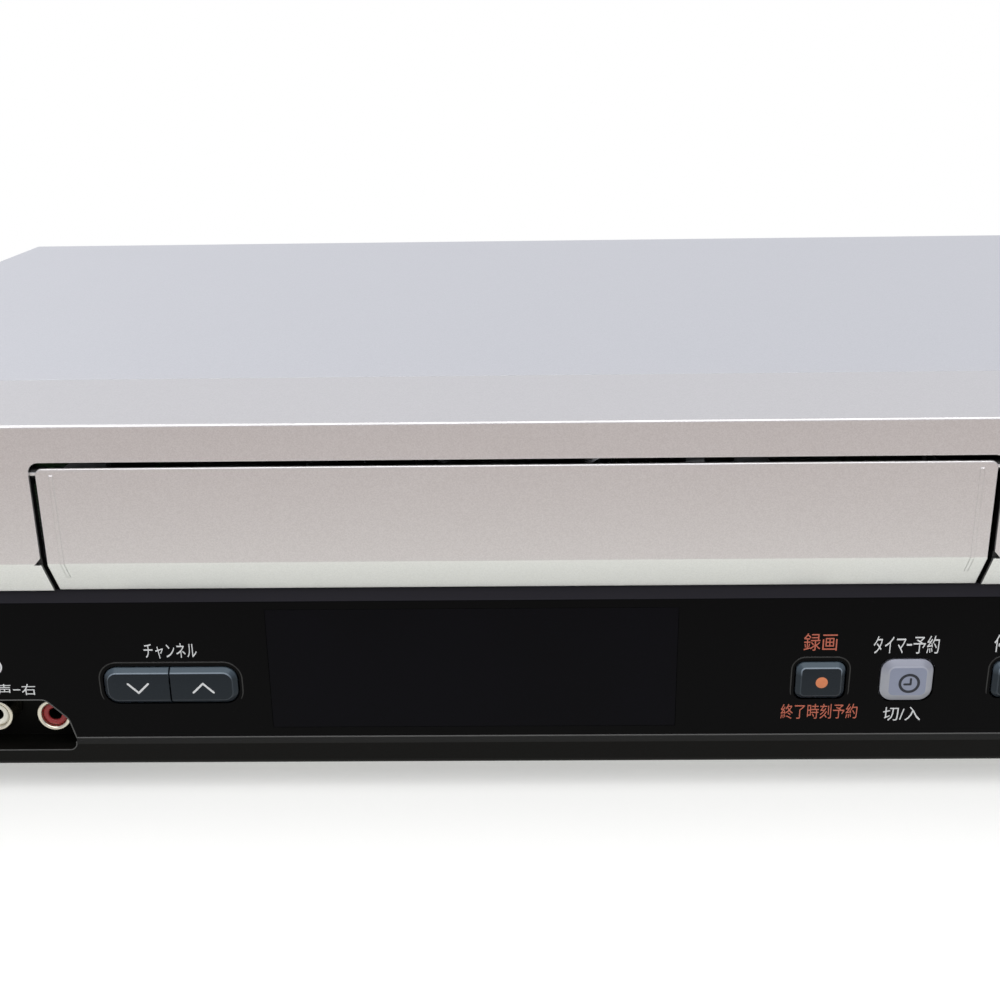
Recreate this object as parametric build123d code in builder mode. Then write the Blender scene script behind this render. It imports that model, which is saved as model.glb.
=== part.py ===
from build123d import *
import math
import os

# Video cassette recorder, front loading. Millimetres, +Z up, front towards -Y, X to the right
# as seen from the front. The origin is under the middle of the recorder, at the floor.

# Overall size
width = 430.0
depth = 284.0
height = 94.0
foot_height = 8.0
terminal_reach = 12.0

# Stock thicknesses and clearances
wall = 2.5
cover_sheet = 0.8
chassis_sheet = 1.2
deck_sheet = 1.5
board_thickness = 1.6
seam = 0.3
running_gap = 0.08
slide_gap = 0.3

front_y = -depth / 2
rear_y = depth / 2
base_z = foot_height

# Front: silver bezel, door and black lower panel
strip_depth = 37.0
strip_drop = 1.0
crease_height = 53.3
facet_depth = 5.5
silver_height = 44.7
side_inset = 2.0

cassette_width = 187.3
cassette_thickness = 25.0

door_x = -12.0
door_width = 206.0
door_thickness = 2.2
door_top_gap = 1.4
door_side_gap = 1.3
door_foot_gap = 0.5
door_drop = 9.7
door_corner = 1.6
pivot_setback = 1.9
pivot_drop = 1.3
door_pin_radius = 1.2
door_pin_length = 3.0
rib_inset = 3.4
rib_width = 0.8
rib_proud = 0.2
rib_setback = 1.6
rib_foot = 4.3

silver_bottom = base_z + silver_height
crease_z = base_z + crease_height
strip_front_z = height - strip_drop
door_top = strip_front_z - door_drop
door_bottom = silver_bottom + 0.2
panel_top = door_bottom - door_foot_gap
panel_y = front_y + facet_depth
pivot_y = front_y + pivot_setback
pivot_z = door_top - pivot_drop

bevel_drop = 3.0
bevel_depth = 1.5
rail_height = 7.0
rail_proud = 0.8
panel_back = panel_y + wall
rail_top = base_z + rail_height

# Steel cover
cover_front = front_y + strip_depth
cover_rear = rear_y - terminal_reach
cover_bottom = base_z + 2.0
cover_width = width - 2 * side_inset
cover_bend = 3.0

# Chassis tray, rear panel and boards
rear_panel_setback = 2.0
rear_outer = cover_rear - rear_panel_setback
rear_inner = rear_outer - 1.0
tray_front = panel_back + 3.0
tray_half_width = cover_width / 2 - cover_sheet - seam
tray_flange = 16.0
floor_top = base_z + chassis_sheet
board_standoff = 2.8
board_bottom = floor_top + board_standoff
board_top = board_bottom + board_thickness
board_half_width = tray_half_width - chassis_sheet - 4.0
board_front = front_y + 24.0
board_rear = rear_inner - 3.0

# Deck
deck_x = door_x
deck_height = 16.0
deck_top = base_z + deck_height
deck_under = deck_top - deck_sheet
deck_half_width = 104.0
deck_front = front_y + 30.0
deck_rear = front_y + 234.0
pillar_radius = 3.5
pillar_inset = 4.5

# Cassette holder and its path
holder_sheet = 0.8
cassette_play = 0.6
holder_drop = 23.4
holder_travel = 66.0
shelf_width = 19.5
holder_length = 52.0
holder_front = front_y + 98.0
holder_rear = holder_front + holder_length
shelf_bottom = panel_top
shelf_top = shelf_bottom + holder_sheet
lid_bottom = shelf_top + cassette_thickness + 1.0
lid_top = lid_bottom + holder_sheet
holder_inner = cassette_width / 2 + cassette_play
holder_outer = holder_inner + holder_sheet
holder_pin_radius = 1.5
holder_pin_z = shelf_bottom + 7.6
holder_pins_y = (holder_front + 8.0, holder_rear - 8.0)
groove_width = 2 * (holder_pin_radius + slide_gap)

side_sheet = 1.2
side_inner = holder_outer + 2.95
side_outer = side_inner + side_sheet
side_front = holder_pins_y[0] - holder_travel - 5.0
side_rear = holder_rear + 4.0
side_top = lid_top
slider_sheet = 1.2
slider_inner = side_outer + slide_gap
slider_outer = slider_inner + slider_sheet
slider_front = holder_front + 2.0
slider_rear = slider_front + 82.0
slider_bottom = deck_top + 3.0
slider_stud_z = slider_bottom + 3.5
slider_stud_radius = 1.5

# Gear teeth
gear_module = 1.0
addendum = 0.8 * gear_module
dedendum = 1.1 * gear_module
tooth_thickness = 1.3 * gear_module
pressure_slope = math.tan(math.radians(20))

carriage_teeth = 16
carriage_gear_width = 2.0
rack_root_z = holder_pin_z + 6.0
rack_pitch_z = rack_root_z + dedendum
carriage_gear_z = rack_pitch_z + carriage_teeth * gear_module / 2
carriage_gear_y = holder_front + 10.0

cam_teeth = 48
pinion_teeth = 12
cam_x = deck_x - 66.0
cam_y = 36.0
cam_width = 3.5
cam_bottom = board_top + 1.4
mesh_distance = (cam_teeth + pinion_teeth) * gear_module / 2
mesh_angle = 135.0
pinion_x = cam_x + mesh_distance * math.cos(math.radians(mesh_angle))
pinion_y = cam_y + mesh_distance * math.sin(math.radians(mesh_angle))

# Drum
drum_radius = 31.0
drum_tilt = 6.0
drum_y = holder_rear + 39.0
tape_centre_z = shelf_top - holder_drop + 13.2
upper_drum_height = 16.0
lower_drum_height = 10.2
drum_shaft_radius = 3.0
drum_ring_height = 4.0
drum_ring_radius = drum_radius + 2.0
rotor_radius = 20.5
stator_radius = 21.6
drum_skirt_radius = 24.0
drum_window_radius = 25.5
drum_foot_x = deck_x - (tape_centre_z - deck_top) * math.tan(math.radians(drum_tilt))
leg_circle = 29.2
leg_radius = 2.8

# Reels, idler and belt
reel_spacing = 92.5
reel_y = holder_rear - 60.0
reel_disc_radius = 24.0
reel_hub_radius = 8.5
reel_stud_radius = 2.0
reel_disc_bottom = deck_top + 1.0
reel_disc_height = 3.4
reel_top = deck_top + 20.0
idler_pivot_y = reel_y - 18.0
idler_hub_radius = 8.0
idler_wheel_radius = 11.0
idler_reach = idler_hub_radius + idler_wheel_radius + slide_gap
idler_shaft_radius = 1.5
idler_level = deck_top + 2.2
idler_height = 2.6

# Capstan and pinch roller
capstan_x = deck_x + 44.0
capstan_y = holder_rear - 11.0
capstan_radius = 2.0
capstan_top = deck_top + 29.0
flywheel_radius = 26.0
flywheel_height = 2.4
flywheel_bottom = board_top + 3.0
capstan_pulley_radius = 8.0
capstan_pulley_height = 2.5
bearing_radius = 4.5
stator_plate_bottom = board_top + 1.0
stator_plate = 1.5
stator_post_circle = 29.0
reel_pulley_radius = 13.0
reel_pulley_flange = 1.6
pulley_bottom = flywheel_bottom + flywheel_height - 0.2
belt_thickness = 1.0
belt_width = 1.3
belt_gap = 0.3

pinch_roller_radius = 7.0
pinch_pivot_x = deck_x + 70.0
pinch_pivot_y = holder_rear + 12.0
pinch_contact_angle = 60.0
pinch_open_angle = 18.0
pinch_stud_radius = 2.5
pinch_arm_level = deck_top + 6.0
pinch_arm_sheet = 2.5
roller_bottom = deck_top + 11.0
roller_height = 16.0

# Tape guides, tension arm and heads
guide_start = (30.0, holder_rear - 14.0)
guide_end = (41.0, holder_rear + 52.0)
guide_slot_width = 4.0
guide_base_width = 9.0
guide_base_length = 13.0
guide_base_height = 3.0
guide_roller_radius = 3.0
guide_top = deck_top + 27.0
tension_pivot = (-70.0, holder_rear + 16.0)
tension_pin = (-50.0, holder_rear + 4.0)
erase_head_at = (-60.0, holder_rear + 34.0)
control_head_at = (55.0, holder_rear + 27.0)

# Display
window_x = -22.0
window_width = 94.0
window_height = 30.0
window_z = base_z + 24.5
window_gap = 0.1
tube_width = 86.0
tube_height = 23.0
tube_depth = 6.0

# Front keys: each centre is a share of the panel's free zone on its side of the window
left_zone = window_x - window_width / 2 + width / 2
right_zone = width / 2 - window_x - window_width / 2
right_zone_start = window_x + window_width / 2
key_proud = 1.1
key_gap = 0.35
key_travel = 0.8
key_flange = 1.5
key_flange_thickness = 1.0
key_row_z = base_z + 21.0
channel_width = 31.1
channel_height = 9.0
channel_corner = 3.2
channel_z = key_row_z - 0.3
channel_split = 0.4
channel_x = -width / 2 + 0.842 * left_zone
record_x = right_zone_start + 0.174 * right_zone
record_width = 11.2
record_height = 9.1
timer_x = right_zone_start + 0.278 * right_zone
timer_width = 11.9
timer_height = 10.4
stop_x = right_zone_start + 0.418 * right_zone
play_x = right_zone_start + 0.545 * right_zone
rewind_x = right_zone_start + 0.676 * right_zone
forward_x = right_zone_start + 0.795 * right_zone
transport_width = 14.0
play_width = 20.0
power_x = -width / 2 + 0.185 * left_zone
power_diameter = 13.0
key_bevel = 0.6
switch_size = 6.0
switch_height = 3.5
switch_cap_radius = 1.7
switch_cap_height = 0.8
front_board_gap = 10.0
front_board_y = panel_back + front_board_gap
front_board_height = 33.5
plunger_radius = 1.5

# Front jacks
jack_pitch = 14.0
recess_middle_x = -width / 2 + 0.543 * left_zone
red_jack_x = recess_middle_x + jack_pitch
jack_z = base_z + 11.3
jack_shell_radius = 4.15
jack_bore_radius = 1.6
jack_bore_depth = 7.0
jack_insulator_radius = 3.1
recess_back = panel_y + 9.0
recess_top = base_z + 17.0
recess_bottom = base_z + 4.2
recess_wall = 1.5
recess_half_top = 13.6
recess_half_middle = 18.6
recess_half_bottom = 20.0
recess_corner = 2.9
recess_foot_corner = 1.8
cup_corner = 2.0
recess_cup_top = recess_top + 1.5
recess_cup_bottom = base_z + 3.0
recess_cup_half = recess_half_bottom + 0.5
jack_reach = recess_back - panel_back - seam

# Rear terminals
tuner_x = 41.7 - board_half_width
tuner_width = 52.0
tuner_height = 34.0
tuner_depth = 62.0
aerial_pitch = 22.0
aerial_radius = 4.7
socket_shoulder = 0.6
shoulder_end = rear_outer + 0.5
phono_setback = 2.0
block_x = tuner_x + 77.0
block_width = 52.0
block_height = 30.0
block_pitch_x = 16.0
block_pitch_z = 14.0
inlet_x = board_half_width - 46.7
inlet_z = base_z + 20.0
inlet_width = 22.0
inlet_height = 14.0
inlet_depth = 18.0

os.makedirs("parts", exist_ok=True)


def finish(shape, label):
    """Name a finished piece and write it."""
    shape.label = label
    export_step(shape, f"parts/{label}.step")


def facing_front(y):
    """Plane seen from the front at a given y, with X to the right and Z up."""
    return Plane.XZ.offset(-y)


def level(z):
    """Horizontal plane at a given height."""
    return Plane.XY.offset(z)


def side_on(x):
    """Plane seen from the right side at a given x, with Y and Z as its own axes."""
    return Plane.YZ.offset(x)


def gear_points(teeth, phase):
    """Corner points of a spur gear, with one tooth at the phase angle in degrees."""
    pitch_radius = teeth * gear_module / 2
    root = pitch_radius - dedendum
    tip = pitch_radius + addendum
    half_tip = (tooth_thickness / 2 - addendum * pressure_slope) / tip
    half_root = (tooth_thickness / 2 + dedendum * pressure_slope) / root
    points = []
    for tooth in range(teeth):
        middle = math.radians(phase) + 2 * math.pi * tooth / teeth
        for radius, turn in ((root, -half_root), (tip, -half_tip), (tip, half_tip), (root, half_root)):
            points.append((radius * math.cos(middle + turn), radius * math.sin(middle + turn)))
    return points


# Steel cover: top and two sides bent from one sheet, with cooling slots in the sides
vent_rows = 2
vent_columns = 12
vent_length = 22.0
vent_width = 2.2
vent_pitch = 7.0
vent_row_gap = 6.0
vent_middle_y = cover_rear - 70.0
vent_z = (cover_bottom + height) / 2 + 6.0
screw_y = (cover_front + 25.0, cover_rear - 18.0)
screw_z = floor_top + 8.0
screw_hole = 1.7

with BuildPart() as top_cover:
    with BuildSketch(facing_front(cover_front)) as cover_section:
        with Locations((0, (cover_bottom + height) / 2)):
            Rectangle(cover_width, height - cover_bottom)
        fillet(cover_section.vertices().group_by(Axis.Y)[-1], cover_bend)
    extrude(amount=cover_front - cover_rear)
    with BuildSketch(facing_front(cover_front)) as cover_hollow:
        with Locations((0, (cover_bottom + height - cover_sheet) / 2)):
            Rectangle(cover_width - 2 * cover_sheet, height - cover_sheet - cover_bottom)
        fillet(cover_hollow.vertices().group_by(Axis.Y)[-1], cover_bend - cover_sheet)
    extrude(amount=cover_front - cover_rear, mode=Mode.SUBTRACT)
    with BuildSketch(side_on(0)):
        with Locations((vent_middle_y, vent_z)):
            with GridLocations(vent_pitch, vent_length + vent_row_gap, vent_columns, vent_rows):
                SlotOverall(vent_length, vent_width, rotation=90)
    extrude(amount=width / 2, both=True, mode=Mode.SUBTRACT)
    with BuildSketch(side_on(0)):
        with Locations(*[(y, screw_z) for y in screw_y]):
            Circle(screw_hole)
    extrude(amount=width / 2, both=True, mode=Mode.SUBTRACT)
finish(top_cover.part, "top_cover")

# Silver bezel: top strip, front face with a lower facet, side returns, and the door opening
opening_left = door_x - door_width / 2 - door_side_gap
opening_width = door_width + 2 * door_side_gap
opening_top = door_top + door_top_gap
opening_corner = door_corner + 0.8
crease_rise = 1.0
notch = 1.6
notch_foot = 0.4
notch_depth = 1.2
notch_lap = 0.2
bezel_edge = 0.6
bezel_rear = cover_front - seam
hinge_boss = 6.0
pivot_bore_radius = door_pin_radius + running_gap

with BuildPart() as front_bezel:
    with BuildSketch(side_on(0)) as bezel_profile:
        with BuildLine():
            Polyline(
                (front_y, crease_z),
                (front_y, strip_front_z),
                (bezel_rear, height),
                (bezel_rear, silver_bottom),
                (panel_y, silver_bottom),
                close=True,
            )
        make_face()
        fillet(bezel_profile.vertices().sort_by(Axis.X)[:2].sort_by(Axis.Y)[-1], bezel_edge)
    extrude(amount=width / 2, both=True)
    with BuildSketch(side_on(0)):
        with BuildLine():
            Polyline(
                (front_y + wall, crease_z + crease_rise),
                (front_y + wall, strip_front_z - wall),
                (bezel_rear, height - wall),
                (bezel_rear, silver_bottom),
                (panel_y + wall, silver_bottom),
                close=True,
            )
        make_face()
    extrude(amount=width / 2 - wall, both=True, mode=Mode.SUBTRACT)
    with BuildSketch(facing_front(front_y + wall)):
        for side in (-1, 1):
            with Locations((door_x + side * (opening_width / 2 + hinge_boss / 2), pivot_z)):
                Rectangle(hinge_boss, hinge_boss)
    extrude(amount=-2.0)
    with BuildSketch(facing_front(front_y)) as opening:
        with Locations((door_x, (opening_top + silver_bottom) / 2)):
            Rectangle(opening_width, opening_top - silver_bottom)
        fillet(opening.vertices().group_by(Axis.Y)[-1], opening_corner)
    extrude(amount=-(facet_depth + wall + 1.0), mode=Mode.SUBTRACT)
    with BuildSketch(side_on(door_x)):
        with Locations((pivot_y, pivot_z)):
            Circle(pivot_bore_radius)
    extrude(amount=door_width / 2 + door_pin_length + seam, both=True, mode=Mode.SUBTRACT)
    for side in (-1, 1):
        edge = door_x + side * opening_width / 2
        with BuildSketch(facing_front(front_y)):
            with BuildLine():
                Polyline(
                    (edge - side * notch_lap, crease_z - notch_foot),
                    (edge + side * notch, crease_z - notch_foot),
                    (edge - side * notch_lap, crease_z + notch),
                    close=True,
                )
            make_face()
        extrude(amount=-notch_depth, mode=Mode.SUBTRACT)
finish(front_bezel.part, "front_bezel")

# Cassette door: plate with the bezel's facet, hinge pins at its top corners and a fine rib near
# each end. Its top falls away behind the front edge, so it clears the bezel as it swings.
door_edge = 0.35
door_land = 0.8
door_fall = 1.2
pin_root = 2.0
door_face = front_y + rib_proud
rib_top = door_top - rib_setback
facet_slope = facet_depth / (crease_z - door_bottom)
rib_end_y = front_y + rib_foot * facet_slope
with BuildPart() as cassette_door:
    with BuildSketch(side_on(door_x)):
        with BuildLine():
            Polyline(
                (door_face, crease_z),
                (door_face, door_top),
                (door_face + door_land, door_top),
                (door_face + door_thickness, door_top - door_fall),
                (door_face + door_thickness, crease_z + crease_rise),
                (panel_y + rib_proud + door_thickness, door_bottom),
                (panel_y + rib_proud, door_bottom),
                close=True,
            )
        make_face()
    extrude(amount=door_width / 2, both=True)
    upright = cassette_door.edges().filter_by(Axis.Y).group_by(Axis.Z)[-1]
    fillet(upright, door_corner)
    fillet(cassette_door.faces().sort_by(Axis.Y)[0].edges().group_by(Axis.Z)[-1], door_edge)
    for side in (-1, 1):
        with BuildSketch(side_on(door_x + side * (door_width / 2 - pin_root))):
            with Locations((pivot_y, pivot_z)):
                Circle(door_pin_radius)
        extrude(amount=side * (door_pin_length + pin_root))
        with BuildSketch(side_on(door_x + side * (door_width / 2 - rib_inset))):
            with BuildLine():
                Polyline(
                    (door_face + rib_proud, rib_top + rib_proud),
                    (front_y, rib_top),
                    (front_y, crease_z),
                    (rib_end_y, crease_z - rib_foot),
                    (rib_end_y + 2 * rib_proud, crease_z - rib_foot),
                    (door_face + rib_proud, crease_z),
                    close=True,
                )
            make_face()
        extrude(amount=rib_width / 2, both=True)
finish(cassette_door.part, "cassette_door")

# Torsion spring that closes the door, on a post of its own beside the left hinge boss
spring_coil = 2.4
spring_wire = 0.3
spring_turns = 5
spring_pitch = 0.8
spring_x = opening_left - hinge_boss - 1.0
spring_post_thickness = 1.2
spring_axis = (front_y + wall + spring_coil + spring_post_thickness, pivot_z)
post_end = 0.6
post_reach = spring_pitch * spring_turns + 2 * post_end
post_radius = spring_coil - spring_wire - 0.3
with BuildPart() as door_spring:
    spring_base = Plane(origin=(spring_x, *spring_axis), x_dir=(0, 1, 0), z_dir=(-1, 0, 0))
    with BuildLine() as spring_line:
        Helix(
            spring_pitch,
            spring_pitch * spring_turns,
            spring_coil,
            center=(spring_x, *spring_axis),
            direction=(-1, 0, 0),
        )
    coil_start = spring_line.wires()[0] @ 0
    with BuildSketch(Plane(origin=coil_start, z_dir=spring_line.wires()[0] % 0)):
        Circle(spring_wire)
    sweep(path=spring_line.wires()[0], is_frenet=True)
    with BuildSketch(spring_base.offset(-post_end)):
        Circle(post_radius)
    extrude(amount=post_reach)
    with BuildSketch(facing_front(front_y + wall)):
        with Locations((spring_x - post_reach / 2 + post_end, pivot_z)):
            Rectangle(post_reach, spring_post_thickness)
    extrude(amount=-(spring_coil + spring_post_thickness))
finish(door_spring.part, "door_spring")

# Keys: places and outlines, used for the caps, the panel's holes and the switches behind
plain_keys = (
    ("record_button", record_x, record_width, record_height, 2.0),
    ("timer_button", timer_x, timer_width, timer_height, 3.0),
    ("stop_eject_button", stop_x, transport_width, record_height, 2.0),
    ("play_button", play_x, play_width, timer_height, 3.0),
    ("rewind_button", rewind_x, transport_width, record_height, 2.0),
    ("forward_button", forward_x, transport_width, record_height, 2.0),
    ("power_button", power_x, power_diameter, power_diameter, power_diameter / 2 - 0.01),
)
channel_keys = (("channel_down_button", -1), ("channel_up_button", 1))
switch_x = [key[1] for key in plain_keys]
switch_x += [channel_x + side * channel_width / 4 for name, side in channel_keys]

# Recess for the front jacks: a flat top with swept ends that run down into the rail
recess_points = (
    (-recess_half_bottom, recess_bottom),
    (-recess_half_bottom, rail_top - 0.5),
    (-recess_half_middle, (recess_top + rail_top) / 2),
    (-recess_half_top, recess_top),
    (recess_half_top, recess_top),
    (recess_half_middle, (recess_top + rail_top) / 2),
    (recess_half_bottom, rail_top - 0.5),
    (recess_half_bottom, recess_bottom),
)


def recess_outline():
    """Outline of the jack recess in the panel and rail, as a face."""
    with BuildSketch() as outline:
        with BuildLine():
            Polyline(*[(recess_middle_x + x, z) for x, z in recess_points], close=True)
        make_face()
        fillet(outline.vertices().sort_by(Axis.Y)[2:], recess_corner)
        fillet(outline.vertices().sort_by(Axis.Y)[:2], recess_foot_corner)
    return outline.sketch


def cup_outline(grow):
    """Outline of the cup behind the recess, grown by a wall."""
    with BuildSketch() as outline:
        with Locations((recess_middle_x, (recess_cup_bottom + recess_cup_top) / 2)):
            RectangleRounded(
                2 * (recess_cup_half + grow),
                recess_cup_top - recess_cup_bottom + 2 * grow,
                cup_corner + grow,
            )
    return outline.sketch


# Black lower panel: gloss face with a bevelled top ledge, side returns and bosses for the key board
ledge_depth = 12.0
boss_radius = 2.6
boss_inset = 11.0
boss_x = (
    -width / 2 + boss_inset,
    window_x - window_width / 2 - 6.5,
    right_zone_start + 12.0,
    (timer_x + stop_x) / 2,
    width / 2 - boss_inset,
)
boss_rows = (base_z + 10.0, base_z + 38.0)
with BuildPart() as lower_panel:
    with BuildSketch(side_on(0)):
        with BuildLine():
            Polyline(
                (panel_y, rail_top),
                (panel_y, panel_top - bevel_drop),
                (panel_y + bevel_depth, panel_top),
                (panel_back + ledge_depth, panel_top),
                (panel_back + ledge_depth, panel_top - wall),
                (panel_back, panel_top - wall),
                (panel_back, rail_top),
                close=True,
            )
        make_face()
    extrude(amount=width / 2, both=True)
    for side in (-1, 1):
        with BuildSketch(side_on(side * width / 2)):
            with BuildLine():
                Polyline(
                    (panel_y, rail_top),
                    (panel_y, panel_top - bevel_drop),
                    (panel_y + bevel_depth, panel_top),
                    (bezel_rear, panel_top),
                    (bezel_rear, base_z),
                    (panel_back, base_z),
                    (panel_back, rail_top),
                    close=True,
                )
            make_face()
        extrude(amount=-side * wall)
    with BuildSketch(facing_front(panel_y)):
        with Locations((window_x, window_z)):
            Rectangle(window_width + 2 * window_gap, window_height + 2 * window_gap)
        for name, x, key_width, key_height, corner in plain_keys:
            with Locations((x, key_row_z)):
                RectangleRounded(key_width + 2 * key_gap, key_height + 2 * key_gap, corner)
        with Locations((channel_x, channel_z)):
            RectangleRounded(
                channel_width + 2 * key_gap,
                channel_height + 2 * key_gap,
                channel_corner + key_gap,
            )
        add(recess_outline())
    extrude(amount=-wall, mode=Mode.SUBTRACT)
    with BuildSketch(facing_front(panel_back)):
        with Locations(*[(x, z) for x in boss_x for z in boss_rows]):
            Circle(boss_radius)
    extrude(amount=-front_board_gap)
finish(lower_panel.part, "lower_panel")

# Matt rail along the bottom edge, scooped out under the jack recess
rail_bevel = 0.6
rail_round = 1.5
rail_gap = 0.05
with BuildPart() as bottom_rail:
    with BuildSketch(side_on(0)) as rail_profile:
        with BuildLine():
            Polyline(
                (panel_y - rail_proud, base_z),
                (panel_y - rail_proud, rail_top - rail_bevel),
                (panel_y, rail_top - rail_gap),
                (panel_back, rail_top - rail_gap),
                (panel_back, base_z + wall),
                (tray_front, base_z + wall),
                (tray_front, base_z),
                close=True,
            )
        make_face()
        fillet(rail_profile.vertices().sort_by(Axis.X)[:2].sort_by(Axis.Y)[0], rail_round)
    extrude(amount=width / 2 - wall - seam, both=True)
    with BuildSketch(facing_front(panel_y - rail_proud)):
        add(recess_outline())
    extrude(amount=-(rail_proud + wall), mode=Mode.SUBTRACT)
    with BuildSketch(facing_front(panel_back)):
        add(cup_outline(recess_wall + seam))
    extrude(amount=-(tray_front - panel_back), mode=Mode.SUBTRACT)
finish(bottom_rail.part, "bottom_rail")

# Smoked window flush in the lower panel
window_lip = 2.0
window_lip_thickness = 1.0
with BuildPart() as display_window:
    with BuildSketch(facing_front(panel_y)):
        with Locations((window_x, window_z)):
            Rectangle(window_width, window_height)
    extrude(amount=-wall)
    with BuildSketch(facing_front(panel_back)):
        with Locations((window_x, window_z)):
            Rectangle(window_width + 2 * window_lip, window_height + window_lip)
    extrude(amount=-window_lip_thickness)
finish(display_window.part, "display_window")


# Keys: a chamfered cap through the panel, a flange behind it and a plunger to its switch.
# The two channel keys are the halves of one long cap.
key_face = panel_y - key_proud
flange_front = panel_back + slide_gap
plunger_start = flange_front + key_flange_thickness
plunger_end = front_board_y - switch_height - switch_cap_height - key_travel - slide_gap
keys = [(*key, 0) for key in plain_keys]
half_pitch = channel_width / 4
half_cap = channel_width / 2 - channel_split / 2
for name, side in channel_keys:
    keys.append((name, channel_x + side * half_pitch, half_cap, channel_height, 0, side))

for name, x, key_width, key_height, corner, side in keys:
    with BuildPart() as key:
        with BuildSketch(facing_front(key_face)):
            if side:
                with Locations((channel_x, channel_z)):
                    RectangleRounded(channel_width, channel_height, channel_corner)
                with Locations((channel_x - side * channel_width / 2, channel_z)):
                    Rectangle(channel_width + channel_split, 2 * channel_height, mode=Mode.SUBTRACT)
            else:
                with Locations((x, key_row_z)):
                    RectangleRounded(key_width, key_height, corner)
        extrude(amount=key_face - flange_front)
        chamfer(key.faces().sort_by(Axis.Y)[0].edges(), key_bevel)
        flange_width = key_width - 1.0 if side else key_width + 2 * key_flange
        with BuildSketch(facing_front(flange_front)):
            with Locations((x, key_row_z)):
                Rectangle(flange_width, key_height + 2 * key_flange)
        extrude(amount=-key_flange_thickness)
        with BuildSketch(facing_front(plunger_start)):
            with Locations((x, key_row_z)):
                Circle(plunger_radius)
        extrude(amount=plunger_start - plunger_end)
    finish(key.part, name)

# Moulded cup behind the jack recess, with a hole for each jack body
jack_x = [red_jack_x, red_jack_x - jack_pitch, red_jack_x - 2 * jack_pitch]
jack_panel_thickness = 2.0
jack_hole_gap = 0.1
jack_body_size = jack_pitch - 2.0
shell_front = recess_back - jack_reach
shell_bevel = 0.4
insulator_setback = 0.8
body_start = recess_back + jack_panel_thickness
with BuildPart() as jack_panel:
    with BuildSketch(facing_front(panel_back)):
        add(cup_outline(recess_wall))
    extrude(amount=-(recess_back + jack_panel_thickness - panel_back))
    with BuildSketch(facing_front(panel_back)):
        add(cup_outline(0))
    extrude(amount=-(recess_back - panel_back), mode=Mode.SUBTRACT)
    with BuildSketch(facing_front(recess_back)):
        with Locations(*[(x, jack_z) for x in jack_x]):
            Circle(jack_shell_radius + jack_hole_gap)
    extrude(amount=-jack_panel_thickness, mode=Mode.SUBTRACT)
finish(jack_panel.part, "jack_panel")

# Phono jacks: nickel shell, coloured insulator with the centre contact's bore, and a moulded body
for name, x in zip(("right_audio_jack", "left_audio_jack", "video_jack"), jack_x):
    with BuildPart() as jack:
        with BuildSketch(facing_front(shell_front)):
            with Locations((x, jack_z)):
                Circle(jack_shell_radius)
        extrude(amount=shell_front - body_start)
        chamfer(jack.faces().sort_by(Axis.Y)[0].edges(), shell_bevel)
        with BuildSketch(facing_front(shell_front)):
            with Locations((x, jack_z)):
                Circle(jack_insulator_radius)
        extrude(amount=-insulator_setback, mode=Mode.SUBTRACT)
        with BuildSketch(facing_front(shell_front)):
            with Locations((x, jack_z)):
                Circle(jack_bore_radius)
        extrude(amount=-jack_bore_depth, mode=Mode.SUBTRACT)
        with BuildSketch(facing_front(body_start)):
            with Locations((x, jack_z)):
                Rectangle(jack_body_size, jack_body_size)
        extrude(amount=-(front_board_y - body_start))
    finish(jack.part, name)

# Chassis tray: floor with side flanges, vents, board standoffs and deck pillars
pillar_places = [
    (deck_x + side * (deck_half_width - pillar_inset), y)
    for side in (-1, 1)
    for y in (deck_front + pillar_inset, deck_rear - pillar_inset)
]
standoff_radius = 3.0
standoff_inset = 6.0
standoff_places = [
    (side * (board_half_width - standoff_inset), y)
    for side in (-1, 1)
    for y in (board_front + standoff_inset, 0.0, board_rear - standoff_inset)
]
foot_inset = 45.0
foot_y = (front_y + 40.0, rear_outer - 35.0)
foot_places = [(side * (width / 2 - foot_inset), y) for side in (-1, 1) for y in foot_y]
floor_vent_length = 40.0
floor_vent_width = 3.0
floor_vent_pitch = 8.0
floor_vent_count = 9
floor_vent_y = rear_outer - 108.0
side_start = cover_front + 4.0
flange_hole = 1.3
with BuildPart() as bottom_chassis:
    with BuildSketch(level(base_z)):
        with Locations((0, (tray_front + rear_inner) / 2)):
            Rectangle(2 * tray_half_width, rear_inner - tray_front)
    extrude(amount=chassis_sheet)
    with BuildSketch(level(base_z)):
        for side in (-1, 1):
            with Locations((side * (tray_half_width - chassis_sheet / 2), (side_start + rear_inner) / 2)):
                Rectangle(chassis_sheet, rear_inner - side_start)
    extrude(amount=tray_flange)
    with BuildSketch(level(base_z)):
        for side in (-1, 1):
            with Locations((side * (tray_half_width - foot_inset), floor_vent_y)):
                with GridLocations(floor_vent_length, floor_vent_pitch, 1, floor_vent_count):
                    SlotOverall(floor_vent_length, floor_vent_width)
    extrude(amount=chassis_sheet, mode=Mode.SUBTRACT)
    with BuildSketch(level(floor_top)):
        with Locations(*standoff_places):
            Circle(standoff_radius)
    extrude(amount=board_standoff)
    with BuildSketch(level(floor_top)):
        with Locations(*pillar_places):
            Circle(pillar_radius)
    extrude(amount=deck_under - floor_top)
    for side in (-1, 1):
        with BuildSketch(side_on(side * (tray_half_width - 2 * chassis_sheet))):
            with Locations(*[(y, screw_z) for y in screw_y]):
                Circle(flange_hole)
        extrude(amount=side * 3 * chassis_sheet, mode=Mode.SUBTRACT)
finish(bottom_chassis.part, "bottom_chassis")

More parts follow.
